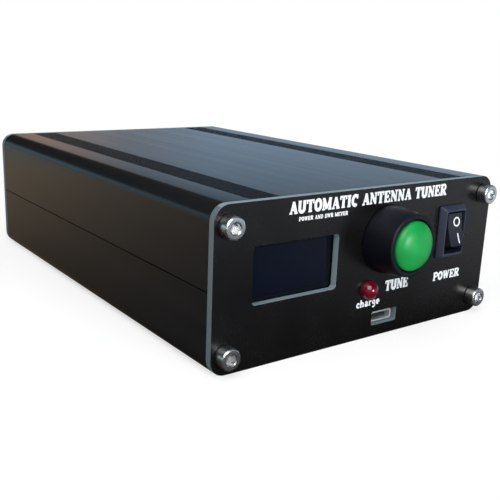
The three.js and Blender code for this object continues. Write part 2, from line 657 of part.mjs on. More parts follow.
function addCoaxSockets() {
  const flangeFace = REAR + SEAT_GAP;
  const flangeBore = (SOCKET_INSULATOR_RADIUS + SOCKET_BARREL_RADIUS) / 2; // inside the barrel's wall
  const flangeRear = flangeFace + SOCKET_FLANGE_THICKNESS;
  const mouth = REAR + SOCKET_REACH;
  const bore = SOCKET_INSULATOR_RADIUS + CLEARANCE;
  const insulatorStart = PLATE_INNER_REAR - INSULATOR_BACK;
  const insulatorEnd = mouth - INSULATOR_RECESS;
  for (const { name, x } of SOCKETS) {
    const flange = roundedRectangle(
      new THREE.Shape(), x, SOCKET_Z, SOCKET_FLANGE, SOCKET_FLANGE, FLANGE_CORNER,
    );
    flange.holes.push(roundHole(x, SOCKET_Z, flangeBore));
    const places = flangeScrewPlaces(x);
    flange.holes.push(...places.map(([hx, hz]) => roundHole(hx, hz, FLANGE_HOLE_RADIUS)));
    const barrel = turned([
      [bore, flangeFace],
      [SOCKET_BARREL_RADIUS, flangeFace],
      [SOCKET_BARREL_RADIUS, mouth - BARREL_CHAMFER],
      [SOCKET_BARREL_RADIUS - BARREL_CHAMFER, mouth],
      [bore, mouth],
      [bore, flangeFace],
    ], x, SOCKET_Z);
    const flangeSolid = along(flange, flangeFace, flangeRear, 3);
    add(`${name}_body`, join(flangeSolid, barrel), nickel);

    const contactBore = SOCKET_CONTACT.radius + CLEARANCE;
    add(`${name}_insulator`, turned([
      [contactBore, insulatorStart],
      [SOCKET_INSULATOR_RADIUS, insulatorStart],
      [SOCKET_INSULATOR_RADIUS, insulatorEnd],
      [contactBore, insulatorEnd],
      [contactBore, insulatorStart],
    ], x, SOCKET_Z, 16), ptfe);

    const tail = insulatorStart - SOCKET_CONTACT.tail;
    const tip = insulatorEnd + SOCKET_CONTACT.reach;
    add(`${name}_contact`, turned([
      [0, tail],
      [SOCKET_CONTACT.radius, tail],
      [SOCKET_CONTACT.radius, tip],
      [SOCKET_CONTACT.bore, tip],
      [SOCKET_CONTACT.bore, tip - SOCKET_CONTACT.boreDepth],
      [0, tip - SOCKET_CONTACT.boreDepth],
    ], x, SOCKET_Z, 12), brass);
  }
}

// The ground terminal: a headed stud through the rear plate and a wing nut on it.
function addGroundTerminal() {
  const { x, z, radius, reach } = STUD;
  const head = { radius: 4.4, thickness: 2.5 };
  const headRear = PLATE_INNER_REAR - SEAT_GAP;
  add('ground_stud', turned([
    [0, headRear - head.thickness],
    [head.radius, headRear - head.thickness],
    [head.radius, headRear],
    [radius, headRear],
    [radius, REAR + reach],
    [0, REAR + reach],
  ], x, z, 16), brass);

  const nut = { front: REAR + 4, height: 4.5, hubFront: 4.4, hubRear: 3.7 };
  const wing = { root: 3, foot: 0.5, shoulder: 0.8, tip: 11, rise: 6, round: 2, thickness: 1.8 };
  const hub = turned([
    [0, 0], [nut.hubFront, 0], [nut.hubRear, nut.height], [0, nut.height],
  ], 0, 0, 16);
  const lobeX = wing.tip - wing.round / 2;
  const lobeY = nut.height + wing.rise / 2;
  const outline = new THREE.Shape();
  outline.moveTo(-wing.root, wing.foot);
  outline.lineTo(wing.root, wing.foot);
  outline.lineTo(wing.tip, nut.height);
  outline.absarc(lobeX, lobeY, wing.round, -Math.PI / 3, 0.75 * Math.PI);
  outline.lineTo(wing.root, nut.height - wing.shoulder);
  outline.lineTo(-wing.root, nut.height - wing.shoulder);
  outline.absarc(-lobeX, lobeY, wing.round, 0.25 * Math.PI, (4 / 3) * Math.PI);
  outline.lineTo(-wing.tip, nut.height);
  outline.closePath();
  const wings = new THREE.ExtrudeGeometry(outline, {
    depth: wing.thickness, bevelEnabled: false, curveSegments: 4,
  }).translate(0, 0, -wing.thickness / 2);
  const bore = rod(radius + CLEARANCE, -1, nut.height + 1, 0, 0, 16);
  const wingNut = add('ground_wing_nut', cut(join(hub, wings), bore), brass);
  wingNut.position.set(x, nut.front, z);
}

addCase();
addFrontPlate();
addRearPlate();
addPanelScrews();
addDisplay();
addTuneButton();
addRocker();
addChargeLamp();
addChargeSocket();
addMainBoard();
addInductors();
addBattery();
addCoaxSockets();
addGroundTerminal();

export default tuner;
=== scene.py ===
import json
import math

import bmesh
import bpy
from mathutils import Matrix, Vector

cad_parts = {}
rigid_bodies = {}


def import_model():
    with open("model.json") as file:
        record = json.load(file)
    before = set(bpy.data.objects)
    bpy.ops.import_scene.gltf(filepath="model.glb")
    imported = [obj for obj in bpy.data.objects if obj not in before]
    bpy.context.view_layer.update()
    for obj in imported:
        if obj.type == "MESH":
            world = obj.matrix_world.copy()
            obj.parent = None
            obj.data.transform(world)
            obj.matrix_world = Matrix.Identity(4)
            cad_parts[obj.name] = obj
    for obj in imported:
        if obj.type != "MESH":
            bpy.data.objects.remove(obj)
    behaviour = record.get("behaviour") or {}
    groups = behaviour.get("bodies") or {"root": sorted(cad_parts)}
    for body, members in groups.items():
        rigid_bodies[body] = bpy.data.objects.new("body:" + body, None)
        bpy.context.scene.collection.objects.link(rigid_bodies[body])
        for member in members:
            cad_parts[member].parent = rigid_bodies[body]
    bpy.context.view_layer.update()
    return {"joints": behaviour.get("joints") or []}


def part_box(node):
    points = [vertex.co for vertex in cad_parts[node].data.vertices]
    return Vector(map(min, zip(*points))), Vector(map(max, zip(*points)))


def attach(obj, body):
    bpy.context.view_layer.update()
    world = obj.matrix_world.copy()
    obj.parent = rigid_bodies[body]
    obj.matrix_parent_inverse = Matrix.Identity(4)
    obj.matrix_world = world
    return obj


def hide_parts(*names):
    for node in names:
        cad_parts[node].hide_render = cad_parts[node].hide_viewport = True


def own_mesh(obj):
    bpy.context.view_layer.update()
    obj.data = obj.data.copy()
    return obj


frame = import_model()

bl_info = {
    "name": "Antenna tuner",
    "version": (1, 0, 0),
    "blender": (4, 5, 0),
    "location": "3D View > Sidebar > Tuner",
    "description": "Builds the visual pieces of an automatic antenna tuner around its packed frame",
    "category": "Object",
}

MM = 0.001  # shapes are drawn in millimetres and scaled once, in piece()
CASE = "case"
SHARP_ANGLE = 32  # degrees between faces from which an edge stays sharp


# ---- places, from the frame ---------------------------------------------------------
def box_of(node):
    """Lowest and highest corner of a frame node, in millimetres."""
    low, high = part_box(node)
    return Vector(low) / MM, Vector(high) / MM


def extent(node):
    """Lowest and highest corner, middle and size of a frame node, in millimetres."""
    low, high = box_of(node)
    return low, high, (low + high) / 2, high - low


def middle_of(node):
    return extent(node)[2]


def joint_of(name):
    return next(joint for joint in frame["joints"] if joint["name"] == name)


# ---- settings -----------------------------------------------------------------------
def length(label, text, millimetres):
    return bpy.props.FloatProperty(
        name=label, description=text, default=millimetres * MM, min=0, precision=5, unit="LENGTH"
    )


def colour(label, text, red, green, blue):
    return bpy.props.FloatVectorProperty(
        name=label, description=text, default=(red, green, blue), min=0, max=1, size=3,
        subtype="COLOR"
    )


def count(label, text, number):
    return bpy.props.IntProperty(name=label, description=text, default=number, min=1)


class TunerSizes(bpy.types.PropertyGroup):
    corner: length("Corner radius", "Outer corner of the case and its plates", 4.2)
    wall: length("Wall", "Wall of the case extrusion", 2)
    rib_count: count("Ribs", "Grooves in each rib band", 8)
    rib_pitch: length("Rib pitch", "From one groove to the next", 1.08)
    rib_width: length("Rib groove", "Width of a groove at the surface", 0.9)
    rib_depth: length("Rib depth", "Depth of a groove", 0.7)
    rib_centre: length("Rib band centre", "From the middle of the case to a rib band", 33)
    plate_edge: length("Plate edge", "Broken edge of the end plates", 0.12)
    ink: length("Ink", "Thickness of the printed lettering", 0.04)
    title_height: length("Title height", "Capitals of the title line", 3.1)
    label_height: length("Label height", "Capitals of the control labels", 2.5)
    thread_pitch: length("Socket thread", "Pitch of the thread on the coaxial sockets", 1.06)
    wire: length("Winding wire", "Diameter of the wire on the toroids", 0.8)
    toroid_turns: count("Toroid turns", "Turns of wire on each toroid", 18)


class TunerColours(bpy.types.PropertyGroup):
    anodised: colour("Anodising", "Black anodised aluminium of the case", 0.010, 0.0105, 0.012)
    mask: colour("Plate", "Black coat of the end plates", 0.0035, 0.0032, 0.0034)
    laminate: colour("Plate edge", "Glass laminate at the plates' cut edges", 0.22, 0.29, 0.32)
    ink: colour("Lettering", "White printing ink", 0.93, 0.93, 0.94)
    cap: colour("Button cap", "Green button cap", 0.001, 0.26, 0.045)
    lamp: colour("Lamp", "Red charge lamp", 0.10, 0.002, 0.012)
    housing: colour("Button housing", "Moulded button housing", 0.0022, 0.0032, 0.0068)
    rocker: colour("Rocker", "Moulded power rocker", 0.010, 0.012, 0.021)
    glass: colour("Display", "Switched-off display glass", 0.0025, 0.0042, 0.011)


class StudioSettings(bpy.types.PropertyGroup):
    key: bpy.props.FloatProperty(
        name="Key light", description="Power of the soft light at the upper left", default=4.2,
        min=0, unit="POWER"
    )
    sky: bpy.props.FloatProperty(
        name="Room", description="Brightness of the room", default=1, min=0,
    )
    lens: bpy.props.FloatProperty(
        name="Lens", description="Focal length", default=52.67, min=1, subtype="DISTANCE_CAMERA"
    )


def sizes():
    return bpy.context.scene.tuner_sizes


def shades():
    return bpy.context.scene.tuner_colours


# ---- node trees ---------------------------------------------------------------------
class Wire:
    """An output socket in an expression: 1 - mask or mask * 0.2 adds the Math node it names."""

    def __init__(self, nodes, socket):
        self.nodes = nodes
        self.socket = socket

    def math(self, operation, *values):
        return self.nodes.node("ShaderNodeMath", {"operation": operation}, dict(enumerate(values)))

    def __add__(self, other):
        return self.math("ADD", self, other)

    __radd__ = __add__

    def __sub__(self, other):
        return self.math("SUBTRACT", self, other)

    def __rsub__(self, other):
        return self.math("SUBTRACT", other, self)

    def __mul__(self, other):
        return self.math("MULTIPLY", self, other)

    __rmul__ = __mul__

    def __truediv__(self, other):
        return self.math("DIVIDE", self, other)

    def __pow__(self, other):
        return self.math("POWER", self, other)

    def sine(self):
        return self.math("SINE", self)

    def cosine(self):
        return self.math("COSINE", self)

    def size(self):
        return self.math("ABSOLUTE", self)

    def larger(self, other):
        return self.math("MAXIMUM", self, other)

    def under(self, limit):
        """1 where the value is under the limit, else 0."""
        return self.math("LESS_THAN", self, limit)


class Nodes:
    """Adds nodes to one tree."""

    def __init__(self, tree):
        self.tree = tree

    def node(self, kind, settings=None, inputs=None, out=0):
        """A node of that type: its settings first, then its sockets' values or links."""
        made = self.tree.nodes.new(kind)
        for key, value in (settings or {}).items():
            if key == "stops":
                self.set_stops(made.color_ramp, value)
            else:
                setattr(made, key, value)
        for key, value in (inputs or {}).items():
            if isinstance(value, Wire):
                self.tree.links.new(value.socket, made.inputs[key])
            else:
                made.inputs[key].default_value = value
        return Wire(self, made.outputs[out]) if len(made.outputs) else made

    @staticmethod
    def set_stops(ramp, stops):
        while len(ramp.elements) < len(stops):
            ramp.elements.new(1)
        for element, (place, shade) in zip(ramp.elements, stops):
            element.position = place
            element.color = (*shade, 1) if hasattr(shade, "__len__") else (shade, shade, shade, 1)


class Finish(Nodes):
    """One material. Patterns are laid out in object coordinates, in metres."""

    def __init__(self, name):
        self.material = bpy.data.materials.new(name)
        self.material.use_nodes = True
        super().__init__(self.material.node_tree)
        self.tree.nodes.clear()

    def place(self, stretch=(1, 1, 1)):
        coordinates = self.node("ShaderNodeTexCoord", out="Object")
        return self.node("ShaderNodeMapping", {}, {"Vector": coordinates, "Scale": stretch})

    def place_axis(self, axis):
        """One object coordinate, in metres."""
        return self.node("ShaderNodeSeparateXYZ", {}, {"Vector": self.place()}, out=axis)

    def stripes(self, axis, pitch_mm):
        """-1 to 1 and back along an axis, once in every pitch."""
        return (self.place_axis(axis) * (2 * math.pi / (pitch_mm * MM))).sine()

    def spread(self, axis, start_mm, end_mm):
        """0 to 1 between two places along an axis."""
        limits = {"From Min": start_mm * MM, "From Max": end_mm * MM}
        return self.node("ShaderNodeMapRange", {}, {"Value": self.place_axis(axis), **limits})

    def grain(self, size_mm, detail=3, stretch=(1, 1, 1), rough=0.55):
        """Cloudy noise with features of that size."""
        inputs = {
            "Vector": self.place(stretch), "Scale": 1 / (size_mm * MM), "Detail": detail,
            "Roughness": rough,
        }
        return self.node("ShaderNodeTexNoise", {}, inputs)

    def specks(self, size_mm, stretch=(1, 1, 1)):
        """Distance to the nearest of many scattered points."""
        inputs = {"Vector": self.place(stretch), "Scale": 1 / (size_mm * MM)}
        return self.node("ShaderNodeTexVoronoi", {}, inputs)

    def ramp(self, factor, *stops):
        return self.node("ShaderNodeValToRGB", {"stops": stops}, {"Fac": factor})

    def blend(self, mask, first, second):
        """first where the mask is 0, second where it is 1."""
        pair = [shade if isinstance(shade, Wire) else (*shade, 1) for shade in (first, second)]
        return self.node(
            "ShaderNodeMix", {"data_type": "RGBA"}, {0: mask, 6: pair[0], 7: pair[1]}, out=2,
        )

    def bump(self, height, depth_mm, strength=1.0, over=None):
        inputs = {"Height": height, "Distance": depth_mm * MM, "Strength": strength}
        if over is not None:
            inputs["Normal"] = over
        return self.node("ShaderNodeBump", {}, inputs)

    def close(self, **values):
        """Joins the values to a Principled shader and returns the material."""
        inputs = {key.replace("_", " "): value for key, value in values.items()}
        shader = self.node("ShaderNodeBsdfPrincipled", {}, inputs)
        self.node("ShaderNodeOutputMaterial", {}, {"Surface": shader})
        return self.material


def lighter(shade, factor):
    return tuple(min(1, part * factor) for part in shade)


# ---- finishes -----------------------------------------------------------------------
# sizes in millimetres
WEAVE_PITCH = 0.42
LAYER_PITCH = 0.24
DISPLAY_ROW_PITCH = 0.17
LIT_HALF_WIDTH, LIT_HALF_HEIGHT = 11.4, 6.0  # of the display's lit area
# painted shade: beyond this distance the laminate's cut edge is painted darker
SHADED_EDGE_START = 1.04  # where the plate's outer edge starts, as a part of a screw's distance


def anodised():
    """Black anodising over an extruded surface, with die lines along the length."""
    f = Finish("anodised")
    lines = f.grain(0.35, 2, (1, 0.006, 1))
    bands = f.grain(3.5, 2, (1, 0.012, 1))
    cloud = f.grain(30, 3)
    tone = shades().anodised
    body = f.blend(f.ramp(bands, (0.35, 0), (0.68, 1)), tone, lighter(tone, 1.5))
    body = f.blend(f.ramp(cloud, (0.4, 0), (0.7, 0.5)), body, lighter(tone, 1.4))
    rough = f.ramp(lines, (0.3, 0), (0.7, 1)) * 0.03 + bands * 0.07 + 0.16
    surface = f.bump(
        lines, 0.0012, 0.35, f.bump(bands, 0.006, 0.25, f.bump(f.specks(0.16), 0.004, 0.4)),
    )
    return f.close(Base_Color=body, Roughness=rough, Metallic=0.25, Normal=surface)


def solder_mask():
    """Black coat over copper, with the faint print of the laminate's weave."""
    f = Finish("solder_mask")
    weave = f.stripes("X", WEAVE_PITCH) * f.stripes("Z", WEAVE_PITCH)
    peel = f.grain(0.9, 2)
    smear = f.grain(14, 4)
    tone = shades().mask
    body = f.blend(f.ramp(smear, (0.35, 0), (0.75, 1)), tone, lighter(tone, 1.5))
    rough = smear * 0.14 + peel * 0.05 + 0.17
    surface = f.bump(weave, 0.0008, 0.5, f.bump(peel, 0.006, 0.35))
    return f.close(Base_Color=body, Roughness=rough, Specular_IOR_Level=0.5, Normal=surface)


def laminate():
    """Cut edge of glass laminate: pale layers through the thickness, broken by fibres; the plate's
    outer edge is painted darker than the window's edges, as painted shade.
    """
    f = Finish("laminate")
    layers = f.stripes("Y", LAYER_PITCH) * 0.5 + 0.5
    fibres = f.grain(0.25, 3, (1, 3, 1))
    # painted shade: past the screws the outer edge takes a darker copy of the laminate
    shaded_outer_edge = 1 - f.place_axis("X").size().under(middle_of("front_screw_4").x * MM * SHADED_EDGE_START)
    tone = shades().laminate
    body = f.blend(
        f.ramp(layers * 0.45 + fibres * 0.6, (0.3, 0), (0.8, 1)), lighter(tone, 0.72),
        lighter(tone, 1.35),
    )
    body = f.blend(shaded_outer_edge, body, f.blend(fibres, lighter(tone, 0.42), lighter(tone, 0.6)))
    return f.close(Base_Color=body, Roughness=fibres * 0.2 + 0.42, Normal=f.bump(fibres, 0.02, 0.5))


def ink():
    """Screen-printed white ink."""
    f = Finish("white_ink")
    speckle = f.grain(0.12, 3)
    body = f.blend(f.ramp(speckle, (0.3, 0), (0.7, 1)), lighter(shades().ink, 0.9), shades().ink)
    return f.close(
        Base_Color=body, Roughness=speckle * 0.2 + 0.4, Normal=f.bump(speckle, 0.01, 0.4),
    )


def bright_metal(name, dark, light, rough, wear=0.5, metal=1.0):
    """A turned or stamped metal surface, with fine scratches and cloudy tarnish."""
    f = Finish(name)
    cloud = f.grain(1.8, 4)
    scratches = f.grain(0.12, 3, (1, 6, 1))
    body = f.blend(f.ramp(cloud, (0.35, 0), (0.7, wear)), light, dark)
    roughness = f.ramp(cloud, (0.3, 0), (0.8, 1)) * 0.12 + scratches * 0.1 + rough
    surface = f.bump(scratches, 0.004, 0.35)
    return f.close(Base_Color=body, Roughness=roughness, Metallic=metal, Normal=surface)


def steel():
    return bright_metal("steel", (0.56, 0.56, 0.57), (0.86, 0.87, 0.88), 0.16)


def nickel():
    return bright_metal("nickel", (0.60, 0.58, 0.54), (0.74, 0.72, 0.68), 0.18, 0.4)


def tinned():
    return bright_metal("tinned_steel", (0.5, 0.5, 0.5), (0.78, 0.80, 0.82), 0.22, 0.5, 0.6)


def brass():
    return bright_metal("brass", (0.42, 0.24, 0.08), (0.80, 0.56, 0.22), 0.18)


def copper():
    return bright_metal("enamelled_copper", (0.38, 0.12, 0.04), (0.80, 0.33, 0.12), 0.2)


def moulded(name, tone, rough, grain_mm, depth_mm, **more):
    """Moulded plastic: a fine even grain, faint flow clouds and slightly glossier rubs."""
    f = Finish(name)
    cloud = f.grain(6, 3)
    grain = f.grain(grain_mm, 2)
    body = f.blend(f.ramp(cloud, (0.35, 0), (0.72, 1)), tone, lighter(tone, 1.35))
    roughness = cloud * 0.12 + grain * 0.08 + rough
    return f.close(
        Base_Color=body, Roughness=roughness, Normal=f.bump(grain, depth_mm, 0.5), **more,
    )


def housing_plastic():
    return moulded("housing_plastic", shades().housing, 0.34, 0.25, 0.008, Specular_IOR_Level=0.3)


# painted light: the rocker's own plastic made 2.2 times lighter, so the bezel's sloping sides look
# lit
def bezel_plastic():
    return moulded("bezel_plastic", lighter(shades().rocker, 2.2), 0.42, 0.22, 0.016)


def rocker_plastic():
    return moulded("rocker_plastic", shades().rocker, 0.3, 0.18, 0.012)


def green_plastic():
    return moulded(
        "green_plastic", shades().cap, 0.3, 0.6, 0.002, Coat_Weight=0.2, Coat_Roughness=0.28,
        Specular_IOR_Level=0.4,
    )


def chip_plastic():
    return moulded("chip_plastic", (0.014, 0.014, 0.015), 0.45, 0.2, 0.01)


def relay_plastic():
    return moulded("relay_plastic", (0.012, 0.075, 0.24), 0.3, 0.35, 0.006)


def insulator_plastic():
    return moulded("insulator_plastic", (0.74, 0.70, 0.60), 0.38, 0.3, 0.008)


def ferrite_red():
    return moulded("ferrite_red", (0.33, 0.022, 0.014), 0.5, 0.3, 0.03)


def ferrite_grey():
    return moulded("ferrite_grey", (0.045, 0.045, 0.048), 0.6, 0.25, 0.03)


def lamp_lens():
    """Tinted epoxy: deep red, with paler cloudy swirls."""
    f = Finish("lamp_lens")
    swirl = f.grain(1.2, 2)
    body = f.blend(f.ramp(swirl, (0.35, 0), (0.7, 1)), shades().lamp, lighter(shades().lamp, 1.8))
    return f.close(
        Base_Color=body, Roughness=swirl * 0.1 + 0.08, Coat_Weight=0.6, Coat_Roughness=0.05,
        Normal=f.bump(swirl, 0.01, 0.2), Subsurface_Weight=0.3, Subsurface_Scale=0.002,
    )


def display_face():
    """Switched-off display: a dark polariser with a faintly lighter lit area."""
    f = Finish("display_face")
    centre = middle_of("display_glass")
    across = (f.place_axis("X") - centre.x * MM).size().under(LIT_HALF_WIDTH * MM)
    up = (f.place_axis("Z") - centre.z * MM).size().under(LIT_HALF_HEIGHT * MM)
    rows = f.stripes("Z", DISPLAY_ROW_PITCH) * 0.5 + 0.5
    haze = f.grain(5, 3)
    area = across * up * (rows * 0.3 + 0.7)
    tone = shades().glass
    body = f.blend(area, lighter(tone, 0.55), lighter(tone, 1.25))
    return f.close(Base_Color=body, Roughness=haze * 0.08 + 0.04, Specular_IOR_Level=0.3,
                   Normal=f.bump(haze, 0.003, 0.2))


def board_green():
    """Green board: tracks under the mask as raised, slightly lighter bands."""
    f = Finish("board_green")
    cells = f.node("ShaderNodeTexBrick", {"offset": 0.35, "squash": 0.6, "squash_frequency": 3}, {
        "Vector": f.place(), "Scale": 240, "Mortar Size": 0.12, "Mortar Smooth": 0.1,
        "Color1": (0, 0, 0, 1), "Color2": (0, 0, 0, 1), "Mortar": (1, 1, 1, 1),
    }, out="Color")
    cloud = f.grain(8, 3)
    body = f.blend(cells, (0.006, 0.06, 0.026), (0.016, 0.13, 0.05))
    return f.close(Base_Color=body, Roughness=cloud * 0.15 + 0.3, Normal=f.bump(cells, 0.02, 0.4))


def battery_wrap():
    """Crinkled silver pouch."""
    f = Finish("battery_wrap")
    crinkle = f.specks(3.5, (1, 0.5, 1))
    cloud = f.grain(5, 4)
    body = f.blend(cloud, (0.36, 0.38, 0.40), (0.60, 0.62, 0.64))
    return f.close(
        Base_Color=body, Roughness=cloud * 0.2 + 0.26, Metallic=0.75,
        Normal=f.bump(crinkle, 0.25, 0.35, f.bump(cloud, 0.08, 0.4)),
    )


MADE = {}


def finish(make):
    """The material of that function, made once."""
    if make not in MADE:
        MADE[make] = make()
    return MADE[make]


# ---- shapes, drawn in millimetres ---------------------------------------------------
def bow(x, z, across, up, start, end, steps):
    """Points on part of an ellipse, angles in degrees."""
    turns = [math.radians(start + (end - start) * i / steps) for i in range(steps + 1)]
    return [(x + across * math.cos(a), z + up * math.sin(a)) for a in turns]


def arc(x, z, radius, start, end, steps):
    return bow(x, z, radius, radius, start, end, steps)


def circle(x, z, radius, sides):
    return arc(x, z, radius, 0, 360, sides)[:-1]


def dome(across, rise, y, step, points, flat=0.0):
    """Profile of a rounded end from its top at y outwards, a point every step degrees."""
    turns = [math.radians(step * i) for i in range(points)]
    return [[flat + across * math.sin(a), y + rise * (1 - math.cos(a))] for a in turns]


def ring_at(outline, y):
    return [(x, y, z) for x, z in outline]


def circle_at(radius, y, sides):
    return ring_at(circle(0, 0, radius, sides), y)


def round_rectangle(x, z, width, height, radius, steps):
    points = []
    for turn, (side, rise) in enumerate(((1, -1), (1, 1), (-1, 1), (-1, -1))):
        start = 90 * turn - 90
        points += arc(
            x + side * (width / 2 - radius), z + rise * (height / 2 - radius), radius, start,
            start + 90, steps
        )
    return points


def slab(outline, front, rear, holes=()):
    """A flat outline of (x, z) points, with holes, drawn out along Y."""
    solid = bmesh.new()
    edges = []
    for path in (outline, *holes):
        corners = [solid.verts.new((x, front, z)) for x, z in path]
        edges += [solid.edges.new(pair) for pair in zip(corners, corners[1:] + corners[:1])]
    bmesh.ops.triangle_fill(solid, edges=edges, use_beauty=True, use_dissolve=False)
    drawn = bmesh.ops.extrude_face_region(solid, geom=solid.faces[:])
    moved = [part for part in drawn["geom"] if isinstance(part, bmesh.types.BMVert)]
    bmesh.ops.translate(solid, verts=moved, vec=(0, rear - front, 0))
    bmesh.ops.recalc_face_normals(solid, faces=solid.faces)
    if solid.calc_volume(signed=True) < 0:
        bmesh.ops.reverse_faces(solid, faces=solid.faces)
    return solid


def block(low, high):
    (x0, y0, z0), (x1, y1, z1) = low, high
    return slab([(x0, z0), (x1, z0), (x1, z1), (x0, z1)], y0, y1)


def skin(rings, closed=False):
    """Faces between rings of points; a ring of one point is a pole."""
    solid = bmesh.new()
    loops = [[solid.verts.new(point) for point in ring] for ring in rings]
    for first, second in zip(loops, loops[1:] + loops[:1] if closed else loops[1:]):
        sides = max(len(first), len(second))
        for i in range(sides):
            j = (i + 1) % sides
            corners = [
                first[i % len(first)], first[j % len(first)], second[j % len(second)],
                second[i % len(second)],
            ]
            solid.faces.new(list(dict.fromkeys(corners)))
    bmesh.ops.recalc_face_normals(solid, faces=solid.faces)
    return solid


def turned(profile, x=0.0, z=0.0, sides=48, closed=False):
    """[radius, y] pairs turned about the Y axis through x, z."""
    rings = []
    for radius, y in profile:
        if radius == 0:
            rings.append([(x, y, z)])
        else:
            rings.append(ring_at(circle(x, z, radius, sides), y))
    return skin(rings, closed)


def gather(*solids):
    """All of them in one mesh, as separate shells."""
    first, *others = solids
    for other in others:
        loose = bpy.data.meshes.new("loose")
        other.to_mesh(loose)
        other.free()
        first.from_mesh(loose)
        bpy.data.meshes.remove(loose)
    return first


def shown(name, solid):
    """A temporary object in the scene."""
    mesh = bpy.data.meshes.new(name)
    solid.to_mesh(mesh)
    solid.free()
    holder = bpy.data.objects.new(name, mesh)
    bpy.context.scene.collection.objects.link(holder)
    return holder


def drop(holder):
    """Removes a temporary object and its mesh."""
    mesh = holder.data
    bpy.data.objects.remove(holder)
    bpy.data.meshes.remove(mesh)


def taken(holder):
    """The temporary object's evaluated mesh, as a new mesh. The object goes."""
    depsgraph = bpy.context.evaluated_depsgraph_get()
    mesh = bpy.data.meshes.new_from_object(holder.evaluated_get(depsgraph))
    drop(holder)
    return mesh


def combine(operation, solid, others):
    """The solid with each of the others cut from it or joined to it."""
    base = shown("blank", solid)
    tools = [shown("tool", other) for other in others]
    for tool in tools:
        step = base.modifiers.new("step", "BOOLEAN")
        step.operation = operation
        step.solver = "EXACT"
        step.object = tool
    mesh = taken(base)
    result = bmesh.new()
    result.from_mesh(mesh)
    bpy.data.meshes.remove(mesh)
    for tool in tools:
        drop(tool)
    return result


def carve(solid, *tools):
    return combine("DIFFERENCE", solid, tools)


def fuse(solid, *others):
    return combine("UNION", solid, others)


def moved(solid, offset=(0, 0, 0), turn=0.0, axis="X"):
    """The solid turned about the origin, in degrees, then shifted."""
    place = Matrix.Translation(offset) @ Matrix.Rotation(math.radians(turn), 4, axis)
    bmesh.ops.transform(solid, matrix=place, verts=solid.verts)
    return solid


def paint(solid, slot, wanted):
    """Faces for which wanted(face) is true take that material slot."""
    solid.normal_update()
    for face in solid.faces:
        if wanted(face):
            face.material_index = slot
    return solid


def place_piece(piece, body, stands_for):
    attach(piece, body)
    if stands_for:
        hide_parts(*stands_for)
    return piece


def soften(mesh, angle):
    mesh.shade_smooth()
    mesh.set_sharp_from_angle(angle=math.radians(angle))


def piece(name, solid, finishes, body=CASE, stands_for=(), slot=None, angle=SHARP_ANGLE, edge=0.0):
    """A finished piece from a shape in millimetres. edge is the width of its broken edges."""
    bmesh.ops.scale(solid, vec=(MM, MM, MM), verts=solid.verts)
    made = shown(name, solid)
    for make in finishes:
        made.data.materials.append(finish(make))
    if edge:
        bevel = made.modifiers.new("edges", "BEVEL")
        bevel.width = edge * MM
        bevel.segments = 2
        bevel.limit_method = "ANGLE"
        bevel.angle_limit = math.radians(angle)
        bevel.harden_normals = True
    soften(made.data, angle)
    return place_piece(made, body, stands_for)


# ---- repeated shapes ----------------------------------------------------------------
class Shaping(Nodes):
    """A Geometry Nodes tree with named inputs."""

    SOCKETS = {int: "NodeSocketInt", float: "NodeSocketFloat"}

    def __init__(self, name, **inputs):
        super().__init__(bpy.data.node_groups.new(name, "GeometryNodeTree"))
        self.values = inputs
        self.ids = {}
        face = self.tree.interface
        face.new_socket("Geometry", in_out="INPUT", socket_type="NodeSocketGeometry")
        face.new_socket("Geometry", in_out="OUTPUT", socket_type="NodeSocketGeometry")
        for label, value in inputs.items():
            kind = self.SOCKETS.get(type(value), "NodeSocketObject")
            if isinstance(value, bpy.types.Material):
                kind = "NodeSocketMaterial"
            self.ids[label] = face.new_socket(label, in_out="INPUT", socket_type=kind).identifier
        self.door = self.tree.nodes.new("NodeGroupInput")

    def given(self, label):
        return Wire(self, self.door.outputs[label])

    def finish_with(self, geometry):
        """Realizes, sets the material input and joins the output."""
        real = self.node("GeometryNodeRealizeInstances", {}, {"Geometry": geometry})
        coated = self.node(
            "GeometryNodeSetMaterial", {}, {"Geometry": real, "Material": self.given("finish")},
        )
        self.node("NodeGroupOutput", {}, {"Geometry": coated})

    def run(self, solid=None):
        """The mesh that the tree makes of the shape, with the inputs' values."""
        base = shown("base", solid or bmesh.new())
        modifier = base.modifiers.new("shaping", "NODES")
        modifier.node_group = self.tree
        for label, value in self.values.items():
            modifier[self.ids[label]] = value
        mesh = taken(base)
        bpy.data.node_groups.remove(self.tree)
        return mesh


def piece_from(name, mesh, body=CASE, stands_for=(), angle=SHARP_ANGLE):
    """A finished piece from a mesh in millimetres that carries its own material."""
    mesh.name = name
    mesh.transform(Matrix.Scale(MM, 4))
    made = bpy.data.objects.new(name, mesh)
    bpy.context.scene.collection.objects.link(made)
    soften(mesh, angle)
    return place_piece(made, body, stands_for)


def repeat(pattern, places, material, name):
    """The pattern at each (x, y, z, turn about Z in degrees), as one mesh."""
    prototype = shown("prototype", pattern)
    points = bmesh.new()
    layer = points.verts.layers.float.new("turn")
    for x, y, z, turn in places:
        points.verts.new((x, y, z))[layer] = math.radians(turn)
    tree = Shaping(name, pattern=prototype, finish=material)
    turn = tree.node("GeometryNodeInputNamedAttribute", {"data_type": "FLOAT"}, {"Name": "turn"})
    turned_by = tree.node("ShaderNodeCombineXYZ", {}, {"Z": turn})
    shape = tree.node(
        "GeometryNodeObjectInfo", {}, {"Object": tree.given("pattern")}, out="Geometry",
    )
    rows = tree.node("GeometryNodeInstanceOnPoints", {}, {
        "Points": tree.given("Geometry"), "Instance": shape, "Rotation": turned_by,
    })
    tree.finish_with(rows)
    mesh = tree.run(points)
    drop(prototype)
    return mesh


